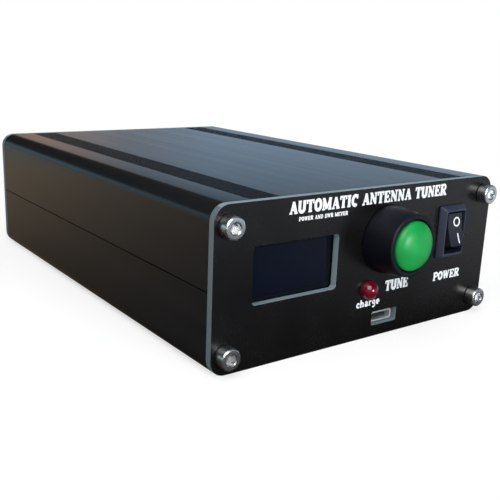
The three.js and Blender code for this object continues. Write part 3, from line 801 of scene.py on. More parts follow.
def coil(name, radius, wire, length, turns, material):
    """A helix of wire along +Y from the origin."""
    tree = Shaping(
        name, radius=float(radius), wire=float(wire), length=float(length), turns=float(turns),
        finish=material
    )
    path = tree.node("GeometryNodeCurveSpiral", {}, {
        "Resolution": 28, "Rotations": tree.given("turns"), "Start Radius": tree.given("radius"),
        "End Radius": tree.given("radius"), "Height": tree.given("length"), "Reverse": False,
    })
    ring = tree.node(
        "GeometryNodeCurvePrimitiveCircle", {}, {"Resolution": 8, "Radius": tree.given("wire")},
    )
    tube = tree.node(
        "GeometryNodeCurveToMesh", {}, {"Curve": path, "Profile Curve": ring, "Fill Caps": True},
    )
    laid = tree.node(
        "GeometryNodeTransform", {}, {"Geometry": tube, "Rotation": (-math.pi / 2, 0, 0)},
    )
    tree.finish_with(laid)
    return tree.run()


# ---- the case and its plates --------------------------------------------------------
SEAM_GAP = 0.3
PORT_RADIUS = 3.2  # screw port in each corner of the extrusion
RAIL_X = 43.6  # edge of the rails that hold the board
SLOT_X = 45.4
SLOT_BOTTOM, SLOT_TOP, RAIL_TOP = 8.6, 10.8, 12.4
SEAM_LAND, SEAM_LAND_DEPTH = 3.2, 4.5
TONGUE_OUTER, TONGUE_INNER, TONGUE_HEIGHT = 1, 2, 1.8
GAP = 0.3  # around what passes through a hole
SHANK_RADIUS = 1.25


def rib_band(centre):
    """Grooves across the underside, from left to right."""
    s = sizes()
    pitch, width, depth = s.rib_pitch / MM, s.rib_width / MM, s.rib_depth / MM
    start = centre - ((s.rib_count - 1) * pitch + width) / 2
    points = []
    for i in range(s.rib_count):
        x = start + i * pitch
        points += [(x, 0), (x + width * 0.42, depth), (x + width * 0.58, depth), (x + width, 0)]
    return points


def half_case():
    """Outline of the lower half, seen from the front: tongue on the left, groove on the right."""
    low, high = box_of("front_panel")
    half, mid = high.x, (low.z + high.z) / 2
    screw = middle_of("front_screw_4")
    s = sizes()
    corner, wall, centre = s.corner / MM, s.wall / MM, s.rib_centre / MM
    seam = mid - SEAM_GAP / 2
    inner, land, foot = half - wall, half - SEAM_LAND, seam - SEAM_LAND_DEPTH
    port_start = math.degrees(math.acos((RAIL_X - screw.x) / PORT_RADIUS))
    port_end = 180 + math.degrees(math.asin((screw.z - wall) / PORT_RADIUS))
    groove = [
        (half - TONGUE_OUTER + GAP, seam), (half - TONGUE_OUTER + GAP, seam - TONGUE_HEIGHT - GAP),
    ]
    groove += [
        (half - TONGUE_INNER - GAP, seam - TONGUE_HEIGHT - GAP), (half - TONGUE_INNER - GAP, seam),
    ]
    rail = [
        (inner, foot - SEAM_LAND + wall), (inner, RAIL_TOP), (RAIL_X, RAIL_TOP), (RAIL_X, SLOT_TOP),
    ]
    rail += [(SLOT_X, SLOT_TOP), (SLOT_X, SLOT_BOTTOM), (RAIL_X, SLOT_BOTTOM)]
    tongue = [(-half + TONGUE_INNER, seam), (-half + TONGUE_INNER, seam + TONGUE_HEIGHT)]
    tongue += [(-half + TONGUE_OUTER, seam + TONGUE_HEIGHT), (-half + TONGUE_OUTER, seam)]
    outline = [(-half, seam), *arc(-half + corner, corner, corner, 180, 270, 14)]
    outline += rib_band(-centre) + rib_band(centre)
    outline += [*arc(half - corner, corner, corner, 270, 360, 14), (half, seam), *groove]
    outline += [
        (land, seam), (land, foot), *rail,
        *arc(screw.x, screw.z, PORT_RADIUS, port_start, port_end, 14),
    ]
    outline += arc(-screw.x, screw.z, PORT_RADIUS, 180 - port_end, 180 - port_start, 14)
    outline += [(-x, z) for x, z in reversed(rail)] + [(-land, foot), (-land, seam), *tongue]
    ports = [circle(side * screw.x, screw.z, SHANK_RADIUS + GAP, 20) for side in (-1, 1)]
    return outline, ports


class MakeCase(bpy.types.Operator):
    """Makes the two extruded halves of the case, with their rib bands and screw ports"""

    bl_idname = "tuner.make_case"
    bl_label = "Case"

    def execute(self, context):
        low, high = box_of("lower_shell")
        outline, ports = half_case()
        lower = slab(outline, low.y, high.y, ports)
        piece(
            "case_lower", lower, [anodised], stands_for=["lower_shell"], slot="anodised", angle=24,
        )
        height = box_of("front_panel")[1].z
        upper = moved(slab(outline, low.y, high.y, ports), (0, 0, height), 180, "Y")
        piece(
            "case_upper", upper, [anodised], stands_for=["upper_shell"], slot="anodised", angle=24,
        )
        return {"FINISHED"}


FLANGE_SCREW_SPACING = 18.2
FLANGE_HOLE = 1.7
INSULATOR_RADIUS = 6


def flange_corners(node):
    """x, z of the four screws around a coaxial socket."""
    centre = middle_of(node)
    step = FLANGE_SCREW_SPACING / 2
    return [(centre.x + a * step, centre.z + b * step) for a in (-1, 1) for b in (-1, 1)]


def make_plate(name, node, holes, prefix):
    low, high, centre, size = extent(node)
    outline = round_rectangle(centre.x, centre.z, size.x, size.z, sizes().corner / MM, 12)
    screws = [middle_of(f"{prefix}_screw_{i}") for i in range(1, 5)]
    holes = [circle(p.x, p.z, SHANK_RADIUS + GAP, 20) for p in screws] + holes
    plate = slab(outline, low.y, high.y, holes)
    paint(plate, 1, lambda face: abs(face.normal.y) < 0.5)
    edge = sizes().plate_edge / MM
    piece(name, plate, [solder_mask, laminate], stands_for=[node], slot="plate", edge=edge)


WINDOW = (26.4, 14.4, 1)  # width, height, corner
BUTTON_THREAD_RADIUS = 7.7
ROCKER_BODY = (8.8, 13.4)
CHARGE_HOLE = (9.4, 3.8, 0.5)
CHARGE_HOLE_Z = 5.1
LAMP_FLANGE = 0.4
STUD_RADIUS = 2.5


class MakePlates(bpy.types.Operator):
    """Makes the front and rear plates with their openings"""

    bl_idname = "tuner.make_plates"
    bl_label = "End plates"

    def execute(self, context):
        window, button = middle_of("display_glass"), middle_of("tune_button_housing")
        rocker, lamp = middle_of("rocker_housing"), middle_of("charge_led")
        charge = middle_of("charge_socket_shell")
        lamp_radius = extent("charge_led")[3].x / 2 - LAMP_FLANGE
        holes = [
            round_rectangle(window.x, window.z, *WINDOW, 5),
            circle(button.x, button.z, BUTTON_THREAD_RADIUS + GAP, 48),
            round_rectangle(rocker.x, rocker.z, ROCKER_BODY[0] + GAP, ROCKER_BODY[1] + GAP, 0.4, 3),
            circle(lamp.x, lamp.z, lamp_radius + GAP / 2, 32),
            round_rectangle(charge.x, CHARGE_HOLE_Z, *CHARGE_HOLE, 4),
        ]
        make_plate("front_plate", "front_panel", holes, "front")
        stud = middle_of("ground_stud")
        holes = [circle(stud.x, stud.z, STUD_RADIUS + GAP, 24)]
        for node in ("radio_socket_body", "antenna_socket_body"):
            centre = middle_of(node)
            holes.append(circle(centre.x, centre.z, INSULATOR_RADIUS + GAP, 40))
            holes += [circle(x, z, FLANGE_HOLE, 16) for x, z in flange_corners(node)]
        make_plate("rear_plate", "rear_panel", holes, "rear")
        return {"FINISHED"}


# ---- lettering ----------------------------------------------------------------------
BOLD, FINE, EVEN = 0.27, 0.14, 0.21  # stroke weights, as parts of a capital's height


def foot(left, right):
    return (FINE, [(left, FINE / 2), (right, FINE / 2)])


def head(left, right, y=1.0):
    return (FINE, [(left, y - FINE / 2), (right, y - FINE / 2)])


def post(x, weight=BOLD, low=0.0, high=1.0):
    return (weight, [(x, low), (x, high)])


def ring(x, y, across, up, weight):
    return (weight, bow(x, y, across, up, 0, 360, 20)[:-1], True)


def letters():
    """Slab letters as (width, strokes), each stroke a weight and its points."""
    loop = [
        (0.22, 0.94), (0.5, 0.94), *bow(0.5, 0.72, 0.22, 0.22, 80, -80, 8), (0.5, 0.5), (0.22, 0.5),
    ]
    return {
        "A": (0.9, [(FINE, [(0.16, 0.03), (0.43, 0.97)]), (BOLD, [(0.43, 0.94), (0.73, 0.03)]),
                    (FINE, [(0.27, 0.33), (0.62, 0.33)]), foot(0.02, 0.32), foot(0.54, 0.9)]),
        "C": (0.84, [(BOLD, bow(0.46, 0.5, 0.3, 0.4, 50, 310, 16)), post(0.72, FINE, 0.64, 0.98)]),
        "D": (0.9, [post(0.22), (EVEN, [(0.22, 0.92), (0.4, 0.92),
                                        *bow(0.42, 0.5, 0.32, 0.42, 85, -85, 14),
                                        (0.4, 0.08), (0.22, 0.08)]), head(0.04, 0.3),
                                        foot(0.04, 0.3)]),
        "E": (0.82, [post(0.22), head(0.05, 0.72), foot(0.05, 0.76), post(0.67, FINE, 0.7),
                     post(0.71, FINE, 0, 0.32), (FINE, [(0.22, 0.5), (0.5, 0.5)]),
                     post(0.52, FINE, 0.36, 0.64)]),
        "G": (0.92, [(BOLD, bow(0.46, 0.5, 0.3, 0.4, 50, 320, 16)), post(0.72, FINE, 0.66, 0.98),
                     post(0.72, BOLD, 0.08, 0.44), (FINE, [(0.52, 0.44), (0.88, 0.44)])]),
        "I": (0.5, [post(0.25), foot(0.06, 0.44), head(0.06, 0.44)]),
        "M": (1.1, [post(0.17, FINE), (BOLD, [(0.17, 0.95), (0.53, 0.12)]),
                    (FINE, [(0.53, 0.12), (0.86, 0.95)]), post(0.88), foot(0.03, 0.32),
                    foot(0.7, 1.06), head(0.03, 0.2), head(0.86, 1.06)]),
        "N": (0.94, [post(0.18, FINE), (BOLD, [(0.18, 0.93), (0.74, 0.07)]), post(0.74, FINE),
                     foot(0.03, 0.34), head(0.03, 0.2), head(0.58, 0.9)]),
        "O": (0.88, [ring(0.44, 0.5, 0.3, 0.4, BOLD)]),
        "P": (0.82, [post(0.22), (EVEN, loop), head(0.04, 0.3), foot(0.04, 0.42)]),
        "R": (0.92, [post(0.22), (EVEN, loop), (BOLD, [(0.46, 0.5), (0.72, 0.05)]), head(0.04, 0.3),
                     foot(0.04, 0.4), foot(0.6, 0.9)]),
        "S": (0.76, [(EVEN, bow(0.38, 0.7, 0.22, 0.22, 20, 250, 10)
                      + bow(0.38, 0.3, 0.24, 0.22, 75, -155, 10)),
                     post(0.62, FINE, 0.66, 0.98), post(0.12, FINE, 0.02, 0.36)]),
        "T": (0.86, [post(0.43), head(0.04, 0.82), post(0.09, FINE, 0.68), post(0.77, FINE, 0.68),
                     foot(0.24, 0.62)]),
        "U": (0.92, [(BOLD, [(0.2, 1), (0.2, 0.36), *bow(0.45, 0.35, 0.25, 0.25, 190, 350, 10),
                             (0.7, 0.36), (0.7, 1)]),
                     head(0.03, 0.37), head(0.55, 0.88)]),
        "W": (1.18, [(BOLD, [(0.17, 0.97), (0.38, 0.05)]), (FINE, [(0.38, 0.05), (0.58, 0.9)]),
                     (BOLD, [(0.58, 0.9), (0.79, 0.05)]), (FINE, [(0.79, 0.05), (1.0, 0.97)]),
                     head(0.02, 0.34), head(0.42, 0.68), head(0.86, 1.15)]),
        "a": (0.7, [(EVEN, [*bow(0.33, 0.42, 0.19, 0.2, 150, 0, 8), (0.52, 0.04)]),
                    ring(0.33, 0.2, 0.17, 0.14, EVEN),
                    foot(0.5, 0.68)]),
        "c": (0.62, [(EVEN, bow(0.34, 0.33, 0.22, 0.26, 45, 315, 12)), post(0.5, EVEN, 0.4, 0.6)]),
        "e": (0.66, [(EVEN, [(0.12, 0.34), (0.54, 0.34),
                             *bow(0.33, 0.34, 0.21, 0.26, 12, 310, 14)])]),
        "g": (0.7, [ring(0.33, 0.4, 0.19, 0.2, EVEN), (EVEN, [(0.52, 0.64), (0.52, -0.04),
                                                             *bow(0.33, -0.06, 0.19, 0.18, -10,
                                                             -150, 8)])]),
        "h": (0.76, [post(0.18, EVEN), (EVEN, [(0.18, 0.4), *bow(0.37, 0.4, 0.2, 0.22, 170, 10, 8),
                                               (0.57, 0.36), (0.57, 0)]), foot(0.04, 0.32),
                                               foot(0.43, 0.71), head(0.04, 0.2)]),
        "r": (0.6, [post(0.2, EVEN, 0, 0.66),
                    (EVEN, [(0.2, 0.38), *bow(0.4, 0.4, 0.19, 0.2, 170, 50, 6)]),
                    foot(0.05, 0.38), head(0.05, 0.2, 0.68)]),
        " ": (0.5, []),
    }


def stroke(points, weight, front, rear, closed=False):
    """A ribbon of that weight along (x, z) points, drawn out along Y."""
    path = [Vector(point) for point in points]
    rings = []
    for i, here in enumerate(path):
        before = path[i - 1] if closed or i else None
        after = path[(i + 1) % len(path)] if closed or i + 1 < len(path) else None
        ways = [
            (b - a).normalized()
            for a, b in ((before, here), (here, after)) if a is not None and b is not None
        ]
        sides = [Vector((-way.y, way.x)) for way in ways]
        side = sum(sides, Vector((0, 0))).normalized()
        side *= weight / 2 / max(0.4, side.dot(sides[0]))
        one, other = here + side, here - side
        rings.append([(end.x, y, end.y) for end, y in
                      ((one, front), (other, front), (other, rear), (one, rear))])
    solid = skin(rings, closed)
    if not closed:
        solid.verts.ensure_lookup_table()
        for start in (0, 4 * (len(rings) - 1)):
            solid.faces.new([solid.verts[start + i] for i in range(4)])
        bmesh.ops.recalc_face_normals(solid, faces=solid.faces)
    return solid


def write(text, start, end, baseline, height, front, rear):
    """The text as strokes between two x places: end lies left of start on the rear plate."""
    glyphs = letters()
    span = sum(glyphs[letter][0] for letter in text)
    scale = (end - start) / span
    strokes, at = [], 0
    for letter in text:
        width, parts = glyphs[letter]
        for weight, points, *looped in parts:
            laid = [(start + (at + x) * scale, baseline + z * height) for x, z in points]
            strokes.append(stroke(laid, weight * height, front, rear, bool(looped)))
        at += width
    return strokes


def print_on(name, strokes):
    """The strokes fused into one flat print."""
    tree = Shaping("print", finish=finish(ink))
    fused = tree.node("GeometryNodeMeshBoolean", {"operation": "UNION", "solver": "EXACT"}, {
        "Mesh 2": tree.given("Geometry"), "Self Intersection": True,
    })
    tree.finish_with(fused)
    return piece_from(name, tree.run(gather(*strokes)), angle=20)


SUBTITLE_HEIGHT, TUNE_HEIGHT, CHARGE_HEIGHT, GROUND_HEIGHT = 1.0, 3, 2.1, 2.2  # of capitals
REAR_BASELINE, GROUND_BASELINE = 35.4, 23.5


class MakeLettering(bpy.types.Operator):
    """Prints the title and the control labels on both plates"""

    bl_idname = "tuner.make_lettering"
    bl_label = "Lettering"

    def execute(self, context):
        s = sizes()
        title, label, thick = s.title_height / MM, s.label_height / MM, s.ink / MM
        face = box_of("front_panel")[0].y
        front, sunk = face - thick, face + thick / 2
        window, button = middle_of("display_glass"), middle_of("tune_button_housing")
        rocker, lamp = middle_of("rocker_housing"), middle_of("charge_led")
        # text, start, end, baseline and height of a capital
        lines = (
            ("AUTOMATIC ANTENNA TUNER", window.x - 3.4, window.x + 52.6, 36.8, title),
            ("POWER AND SWR METER", window.x - 0.3, window.x + 15.6, 34.9, SUBTITLE_HEIGHT),
            ("TUNE", button.x + 0.6, button.x + 9.6, 12.2, TUNE_HEIGHT),
            ("POWER", rocker.x - 4.8, rocker.x + 6.6, 12, label),
            ("charge", lamp.x - 3.8, lamp.x + 4.8, 9.1, CHARGE_HEIGHT),
        )
        print_on("front_print", [part for line in lines for part in write(*line, front, sunk)])
        face = box_of("rear_panel")[1].y
        rear, sunk = face + thick, face - thick / 2
        strokes = []
        # text, the node it is centred on, half its length, baseline and height
        for text, node, half, baseline, height in (
            ("RADIO", "radio_socket_body", 5.5, REAR_BASELINE, label),
            ("ANTENNA", "antenna_socket_body", 8, REAR_BASELINE, label),
            ("GROUND", "ground_stud", 6, GROUND_BASELINE, GROUND_HEIGHT),
        ):
            x = middle_of(node).x
            strokes += write(text, x + half, x - half, baseline, height, sunk, rear)
        print_on("rear_print", strokes)
        return {"FINISHED"}


# ---- fasteners ----------------------------------------------------------------------
HEAD_RADIUS, HEAD_HEIGHT, HEAD_ROUND = 2.75, 3.0, 0.4
KEY_RADIUS, KEY_DEPTH = 1.45, 1.6  # hexagonal socket, over its corners
LEAD_IN = ((0, -0.01), (1.62, -0.01), (1.2, 0.32), (0, 0.32))  # radius, depth below the head
SCREW_REACH, SCREW_TIP = 10.0, 0.3
PAN_RADIUS, PAN_HEIGHT, PAN_DOME = 2.7, 1.7, 0.75
PAN_SHANK, PAN_REACH = 1.45, 7.0
CROSS = (1.5, 0.28, 0.9)  # half length, half width and depth of the recess


def cross_slots(x, z, half_length, half_width, front, rear):
    """Two slots across each other, centred on x, z."""
    pairs = ((half_length, half_width), (half_width, half_length))
    return [block((x - a, front, z - b), (x + a, rear, z + b)) for a, b in pairs]


def socket_screw():
    """A socket-head screw whose head faces -Y and bears on y = 0."""
    profile = [[0, -HEAD_HEIGHT]]
    profile += dome(HEAD_ROUND, HEAD_ROUND, -HEAD_HEIGHT, 15, 7, HEAD_RADIUS - HEAD_ROUND)
    profile += [[HEAD_RADIUS, -0.12], [HEAD_RADIUS - 0.12, 0], [SHANK_RADIUS, 0]]
    profile += [
        [SHANK_RADIUS, SCREW_REACH - SCREW_TIP], [SHANK_RADIUS - SCREW_TIP, SCREW_REACH],
        [0, SCREW_REACH],
    ]
    hexagon = slab(circle(0, 0, KEY_RADIUS, 6), -HEAD_HEIGHT - 1, -HEAD_HEIGHT + KEY_DEPTH)
    lead_in = turned([[radius, -HEAD_HEIGHT + y] for radius, y in LEAD_IN], sides=36)
    return carve(turned(profile, sides=40), hexagon, lead_in)


def cross_screw():
    """A pan-head screw with a cross recess; its head faces -Y."""
    profile = dome(PAN_RADIUS, PAN_DOME, -PAN_HEIGHT, 12, 7)
    profile += [
        [PAN_RADIUS, profile[-1][1] + 0.2], [PAN_RADIUS, 0], [PAN_SHANK, 0], [PAN_SHANK, PAN_REACH],
    ]
    profile.append([0, PAN_REACH])
    half_length, half_width, depth = CROSS
    slots = cross_slots(0, 0, half_length, half_width, -PAN_HEIGHT - 1, -PAN_HEIGHT + depth)
    return carve(turned(profile, sides=28), *slots)


class MakeScrews(bpy.types.Operator):
    """Sets the eight socket screws in the plates and the eight screws round the coaxial sockets"""

    bl_idname = "tuner.make_screws"
    bl_label = "Screws"

    def execute(self, context):
        nodes, places = [], []
        for prefix, turn in (("front", 0), ("rear", 180)):
            for i in range(1, 5):
                node = f"{prefix}_screw_{i}"
                low, high, centre, _ = extent(node)
                seat = high.y - SCREW_REACH if prefix == "front" else low.y + SCREW_REACH
                places.append((centre.x, seat, centre.z, turn))
                nodes.append(node)
        mesh = repeat(socket_screw(), places, finish(steel), "panel_screws")
        piece_from("panel_screws", mesh, stands_for=nodes, angle=28)
        seat = box_of("radio_socket_body")[0].y + FLANGE_THICKNESS + 0.05
        places = [(x, seat, z, 180) for node in ("radio_socket_body", "antenna_socket_body")
                  for x, z in flange_corners(node)]
        mesh = repeat(cross_screw(), places, finish(nickel), "flange_screws")
        piece_from("flange_screws", mesh, angle=28)
        return {"FINISHED"}


# ---- front controls -----------------------------------------------------------------
BOARD_HOLE, BOARD_HOLE_INSET = 1.1, 2.2
PIN_PITCH = 2.54


class MakeDisplay(bpy.types.Operator):
    """Makes the display glass and the small board behind it"""

    bl_idname = "tuner.make_display"
    bl_label = "Display"

    def execute(self, context):
        piece(
            "display_panel", block(*box_of("display_glass")), [display_face],
            stands_for=["display_glass"], slot="display_glass", edge=0.2,
        )
        low, high, centre, size = extent("display_board")
        half_x, half_z = size.x / 2 - BOARD_HOLE_INSET, size.z / 2 - BOARD_HOLE_INSET
        holes = [circle(centre.x + a * half_x, centre.z + b * half_z, BOARD_HOLE, 16)
                 for a in (-1, 1) for b in (-1, 1)]
        outline = round_rectangle(centre.x, centre.z, size.x, size.z, 0.6, 3)
        board = slab(outline, low.y, high.y, holes)
        piece("display_carrier", board, [board_green], stands_for=["display_board"], slot="board")
        pin = slab(circle(0, 0, 0.42, 8), -0.4, 2.2)
        row = [(centre.x + (i - 1.5) * PIN_PITCH, high.y, high.z - 1.6, 0) for i in range(4)]
        piece_from("display_pins", repeat(pin, row, finish(brass), "pins"))
        return {"FINISHED"}


CAP_DOME = 2.85
BUTTON_BORE = 6.9
BUTTON_RIM, RIM_ROUND = 8.3, 0.45
SPRING_FLOOR = 2  # thickness of the housing's floor
SPRING_RADIUS, SPRING_WIRE, SPRING_TURNS = 2.3, 0.3, 7
THREAD_STEPS = 6  # rings in one pitch


def threaded(radius, depth, pitch, start, end, sides):
    """Rings of a helical thread about Y, running out to the full radius at both ends."""
    rows = round((end - start) / pitch * THREAD_STEPS)
    rings = []
    for i in range(rows + 1):
        y = start + (end - start) * i / rows
        run_out = min(1, (y - start) / pitch, (end - y) / pitch)
        ring_points = []
        for k in range(sides):
            turn = (y / pitch - k / sides) % 1
            cut = depth * run_out * (1 - abs(2 * turn - 1))
            angle = 2 * math.pi * k / sides
            ring_points.append(
                ((radius - cut) * math.cos(angle), y, (radius - cut) * math.sin(angle))
            )
        rings.append(ring_points)
    return rings


class MakeButton(bpy.types.Operator):
    """Makes the tune button: moulded housing, nut, coil spring and the green cap that slides in"""

    bl_idname = "tuner.make_button"
    bl_label = "Tune button"

    def execute(self, context):
        low, high, centre, size = extent("tune_button_housing")
        face, sides = box_of("front_panel")[0].y, 64
        base, rim, bore, thread = size.x / 2, low.y, BUTTON_BORE, BUTTON_THREAD_RADIUS
        seat, cavity = face - 0.1, high.y - SPRING_FLOOR - 9
        barrel = [[bore, cavity], [bore, rim + 0.25], [bore + 0.15, rim + 0.06], [bore + 0.35, rim]]
        barrel += dome(RIM_ROUND, RIM_ROUND, rim, 15, 7, BUTTON_RIM - RIM_ROUND)
        barrel += [
            [8.52, rim + 2.2], [8.85, rim + 5], [9.1, rim + 7.6], [base, seat - 0.5],
            [base, seat - 0.1],
        ]
        barrel += [[base - 0.1, seat], [thread, seat]]
        start = [[0, high.y - SPRING_FLOOR], [3.2, high.y - SPRING_FLOOR], [3.2, cavity]]
        rings = [[(0, start[0][1], 0)]] + [circle_at(r, y, sides) for r, y in start[1:] + barrel]
        rings += threaded(thread, 0.35, 1.0, seat + 2.4, high.y - 0.2, sides)
        rings += [circle_at(thread - 0.3, high.y, sides), [(0, high.y, 0)]]
        housing = moved(skin(rings), (centre.x, 0, centre.z))
        piece(
            "button_housing", housing, [housing_plastic], stands_for=["tune_button_housing"],
            slot="gloss_black",
        )

        low, high, _, size = extent("tune_button_cap")
        radius, dome_edge = size.x / 2, low.y + CAP_DOME
        skirt = dome_edge + 7
        profile = [
            *dome(radius, CAP_DOME, low.y, 5, 18), [radius, dome_edge + 0.1], [radius, skirt - 0.3],
            [radius - 0.3, skirt], [1.4, skirt]
        ]
        profile += [[1.4, high.y - 0.2], [1.2, high.y], [0, high.y]]
        cap = turned(profile, centre.x, centre.z, sides)
        piece(
            "button_cap", cap, [green_plastic], "tune_button", ["tune_button_cap"], "green_lens",
            angle=50,
        )

        low, high, _, size = extent("tune_button_nut")
        hole = circle(centre.x, centre.z, thread + GAP, 48)
        hexagon = slab(circle(centre.x, centre.z, size.x / 2, 6), low.y, high.y, [hole])
        piece(
            "button_nut", hexagon, [nickel], stands_for=["tune_button_nut"], slot="nickel", edge=0.3
        )

        low, high, _, size = extent("tune_button_spring")
        length_y = size.y - 2 * SPRING_WIRE
        mesh = coil("spring", SPRING_RADIUS, SPRING_WIRE, length_y, SPRING_TURNS, finish(steel))
        mesh.transform(Matrix.Translation((centre.x, low.y + SPRING_WIRE, centre.z)))
        spring = piece_from(
            "button_spring", mesh, stands_for=["tune_button_spring"], angle=60,
        )
        travel = joint_of("tune_press")["range_m"][1]
        keep = 1 - travel / (size.y * MM)
        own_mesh(spring)
        return {"FINISHED"}


def rocker_pivot():
    return Vector(joint_of("power_rock")["pos_m"]) / MM


ACTUATOR_HALF, ACTUATOR_CREST, FACE_SLOPE, REST_TILT = 4.6, 3.5, 6.5, -14
ACTUATOR_WIDTH = 5.8
FACE_HOLLOW = 0.12
ROCKER_OPENING = (7.6, 12)
ROCKER_SLOPE = (0.9, 1.5)  # the bezel's sloping sides: in, and back
JOURNAL = 0.8
OFF_MARK = (0.62, 2.15, 1.16)  # x, z and radius of the ring
ON_MARK = ((0.74, -3.95), (0.72, -3), (0.7, -2), (0.68, -1.05))


def on_rocker(solid):
    """Carries a shape drawn level about the pivot to the rocker's place at rest."""
    moved(solid, (0, 0, 0), REST_TILT, "X")
    return moved(solid, rocker_pivot())


def face_depth(z):
    """y of the actuator's face at a height z from the pivot."""
    part = abs(z) / ACTUATOR_HALF
    rise = abs(z) * math.tan(math.radians(FACE_SLOPE))
    return -ACTUATOR_CREST - rise + FACE_HOLLOW * math.sin(math.pi * part)


def actuator_side():
    """Side of the rocker as (y, z): two shallow hollow faces and a rounded tail."""
    heights = [-ACTUATOR_HALF + 2 * ACTUATOR_HALF * i / 12 for i in range(13)]
    face = [(face_depth(z), z) for z in heights]
    tail = [(0.5, ACTUATOR_HALF - 0.8), (2, 1.5), (2, -1.5), (0.5, -ACTUATOR_HALF + 0.8)]
    return face + tail


def across(outline, width):
    """A (y, z) outline drawn out along X, centred."""
    return moved(slab(outline, -width / 2, width / 2), turn=90, axis="Z")


def rocker_mark(points, weight, closed):
    """A stroke laid on the actuator's faces: x across, z up, following the face."""
    solid = stroke(points, weight, -0.03, 0.05, closed)
    for corner in solid.verts:
        corner.co.y += face_depth(corner.co.z)
    return solid


class MakeRocker(bpy.types.Operator):
    """Makes the power rocker: snap-in housing, marked actuator and two terminals"""

    bl_idname = "tuner.make_rocker"
    bl_label = "Power rocker"

    def execute(self, context):
        low, high, centre, size = extent("rocker_housing")
        seat, corner = box_of("front_panel")[0].y - 0.1, 0.5
        slope, run = ROCKER_SLOPE
        rings = []
        for inset, y in ((0, seat), (0, low.y + run + 0.06), (0.05, low.y + run - 0.04),
                         (slope - 0.08, low.y + 0.12), (slope - 0.02, low.y + 0.03),
                         (slope + 0.06, low.y)):
            flat = round_rectangle(
                centre.x, centre.z, size.x - 2 * inset, size.z - 2 * inset, corner, 4
            )
            rings.append(ring_at(flat, y))
        frame_ring = skin([[(centre.x, seat, centre.z)], *rings, [(centre.x, low.y, centre.z)]])
        body = slab(round_rectangle(centre.x, centre.z, *ROCKER_BODY, 0.3, 2), low.y + 1, high.y)
        opening = slab(
            round_rectangle(centre.x, centre.z, *ROCKER_OPENING, 0.5, 3), low.y - 1, high.y - 2,
        )
        pivot = rocker_pivot()
        journal = moved(across(circle(0, 0, JOURNAL + GAP, 20), ROCKER_BODY[0] + 2), pivot)
        housing = carve(fuse(frame_ring, body), opening, journal)
        piece(
            "rocker_frame", housing, [bezel_plastic], stands_for=["rocker_housing"],
            slot="matt_black", edge=0.1,
        )

        wedge = across(actuator_side(), ACTUATOR_WIDTH)
        pin = across(circle(0, 0, JOURNAL, 20), ROCKER_BODY[0] - 0.4)
        actuator = on_rocker(fuse(wedge, pin))
        piece(
            "rocker_button", actuator, [rocker_plastic], "power_rocker", ["rocker_actuator"],
            "matt_black", edge=0.22
        )
        off = rocker_mark(circle(*OFF_MARK, 28), 0.42, True)
        on = rocker_mark(ON_MARK, 0.4, False)
        piece("rocker_marks", on_rocker(gather(off, on)), [ink], "power_rocker")

        for i in (1, 2):
            low, high, middle, _ = extent(f"rocker_terminal_{i}")
            hole = moved(turned([[0, -1], [0.8, -1], [0.8, 1], [0, 1]], sides=16), turn=90)
            moved(hole, (middle.x, high.y - 2, middle.z))
            blade = carve(block(low, high), hole)
            piece(
                f"rocker_blade_{i}", blade, [brass], stands_for=[f"rocker_terminal_{i}"],
                slot="brass", edge=0.12,
            )
        return {"FINISHED"}


class MakeCharge(bpy.types.Operator):
    """Makes the charge lamp, the charge socket and its board"""

    bl_idname = "tuner.make_charge"
    bl_label = "Charge lamp and socket"

    def execute(self, context):
        low, high, centre, size = extent("charge_led")
        flange = size.x / 2
        radius, collar = flange - LAMP_FLANGE, high.y - 1
        profile = dome(radius, radius, low.y, 7.5, 13)
        profile += [[radius, collar], [flange, collar], [flange, high.y], [0, high.y]]
        lamp = turned(profile, centre.x, centre.z, 40)
        piece(
            "charge_lamp", lamp, [lamp_lens], stands_for=["charge_led"], slot="red_lens", angle=45,
        )

        low, high, centre, size = extent("charge_socket_shell")
        wall = 0.35
        outer = round_rectangle(centre.x, centre.z, size.x, size.z, 0.7, 6)
        inner = round_rectangle(centre.x, centre.z, size.x - 2 * wall, size.z - 2 * wall, 0.45, 6)
        shell = slab(outer, low.y, high.y, [inner])
        lip = slab(
            round_rectangle(centre.x, centre.z, size.x + 0.5, size.z + 0.3, 0.9, 6), low.y,
            low.y + 0.3, [inner],
        )
        piece(
            "charge_shell", fuse(shell, lip), [tinned], stands_for=["charge_socket_shell"],
            slot="nickel", edge=0.06,
        )
        low, high = box_of("charge_socket_tongue")
        piece("charge_tongue", block(low, high), [chip_plastic],
            stands_for=["charge_socket_tongue"],
              slot="matt_black", edge=0.1)
        strip = block((-0.15, low.y + 0.2, low.z - 0.03), (0.15, high.y - 0.5, low.z + 0.05))
        row = [((low.x + high.x) / 2 + (i - 2) * 0.8, 0, 0, 0) for i in range(5)]
        piece_from("charge_contacts", repeat(strip, row, finish(brass), "contacts"))
        low, high = box_of("charger_board")
        piece(
            "charger_plate", block(low, high), [board_green], stands_for=["charger_board"],
            slot="board", edge=0.1,
        )
        chip = block((-2.4, -2.6, 0), (2.4, 2.6, 1.4))
        row = [((low.x + high.x) / 2, high.y - 8, high.z + 0.02, 0)]
        piece_from(
            "charger_chip", repeat(chip, row, finish(chip_plastic), "chip"),
        )
        return {"FINISHED"}


# ---- rear connectors ----------------------------------------------------------------
FLANGE_THICKNESS = 2
FLANGE_CORNER = 1.6
SOCKET_NODES = ("radio_socket", "antenna_socket")
BARREL_RADIUS, SOCKET_THREAD_DEPTH = 7.9, 0.5
NOTCH = ((-10, -0.92, -0.7), (10, 1.27, 0.7))
NOTCH_TURNS = (47, -43)  # clear of the barrel's points
INSULATOR_BORE = 2.8
CONTACT_BORE, CONTACT_DEPTH = 1.9, 12


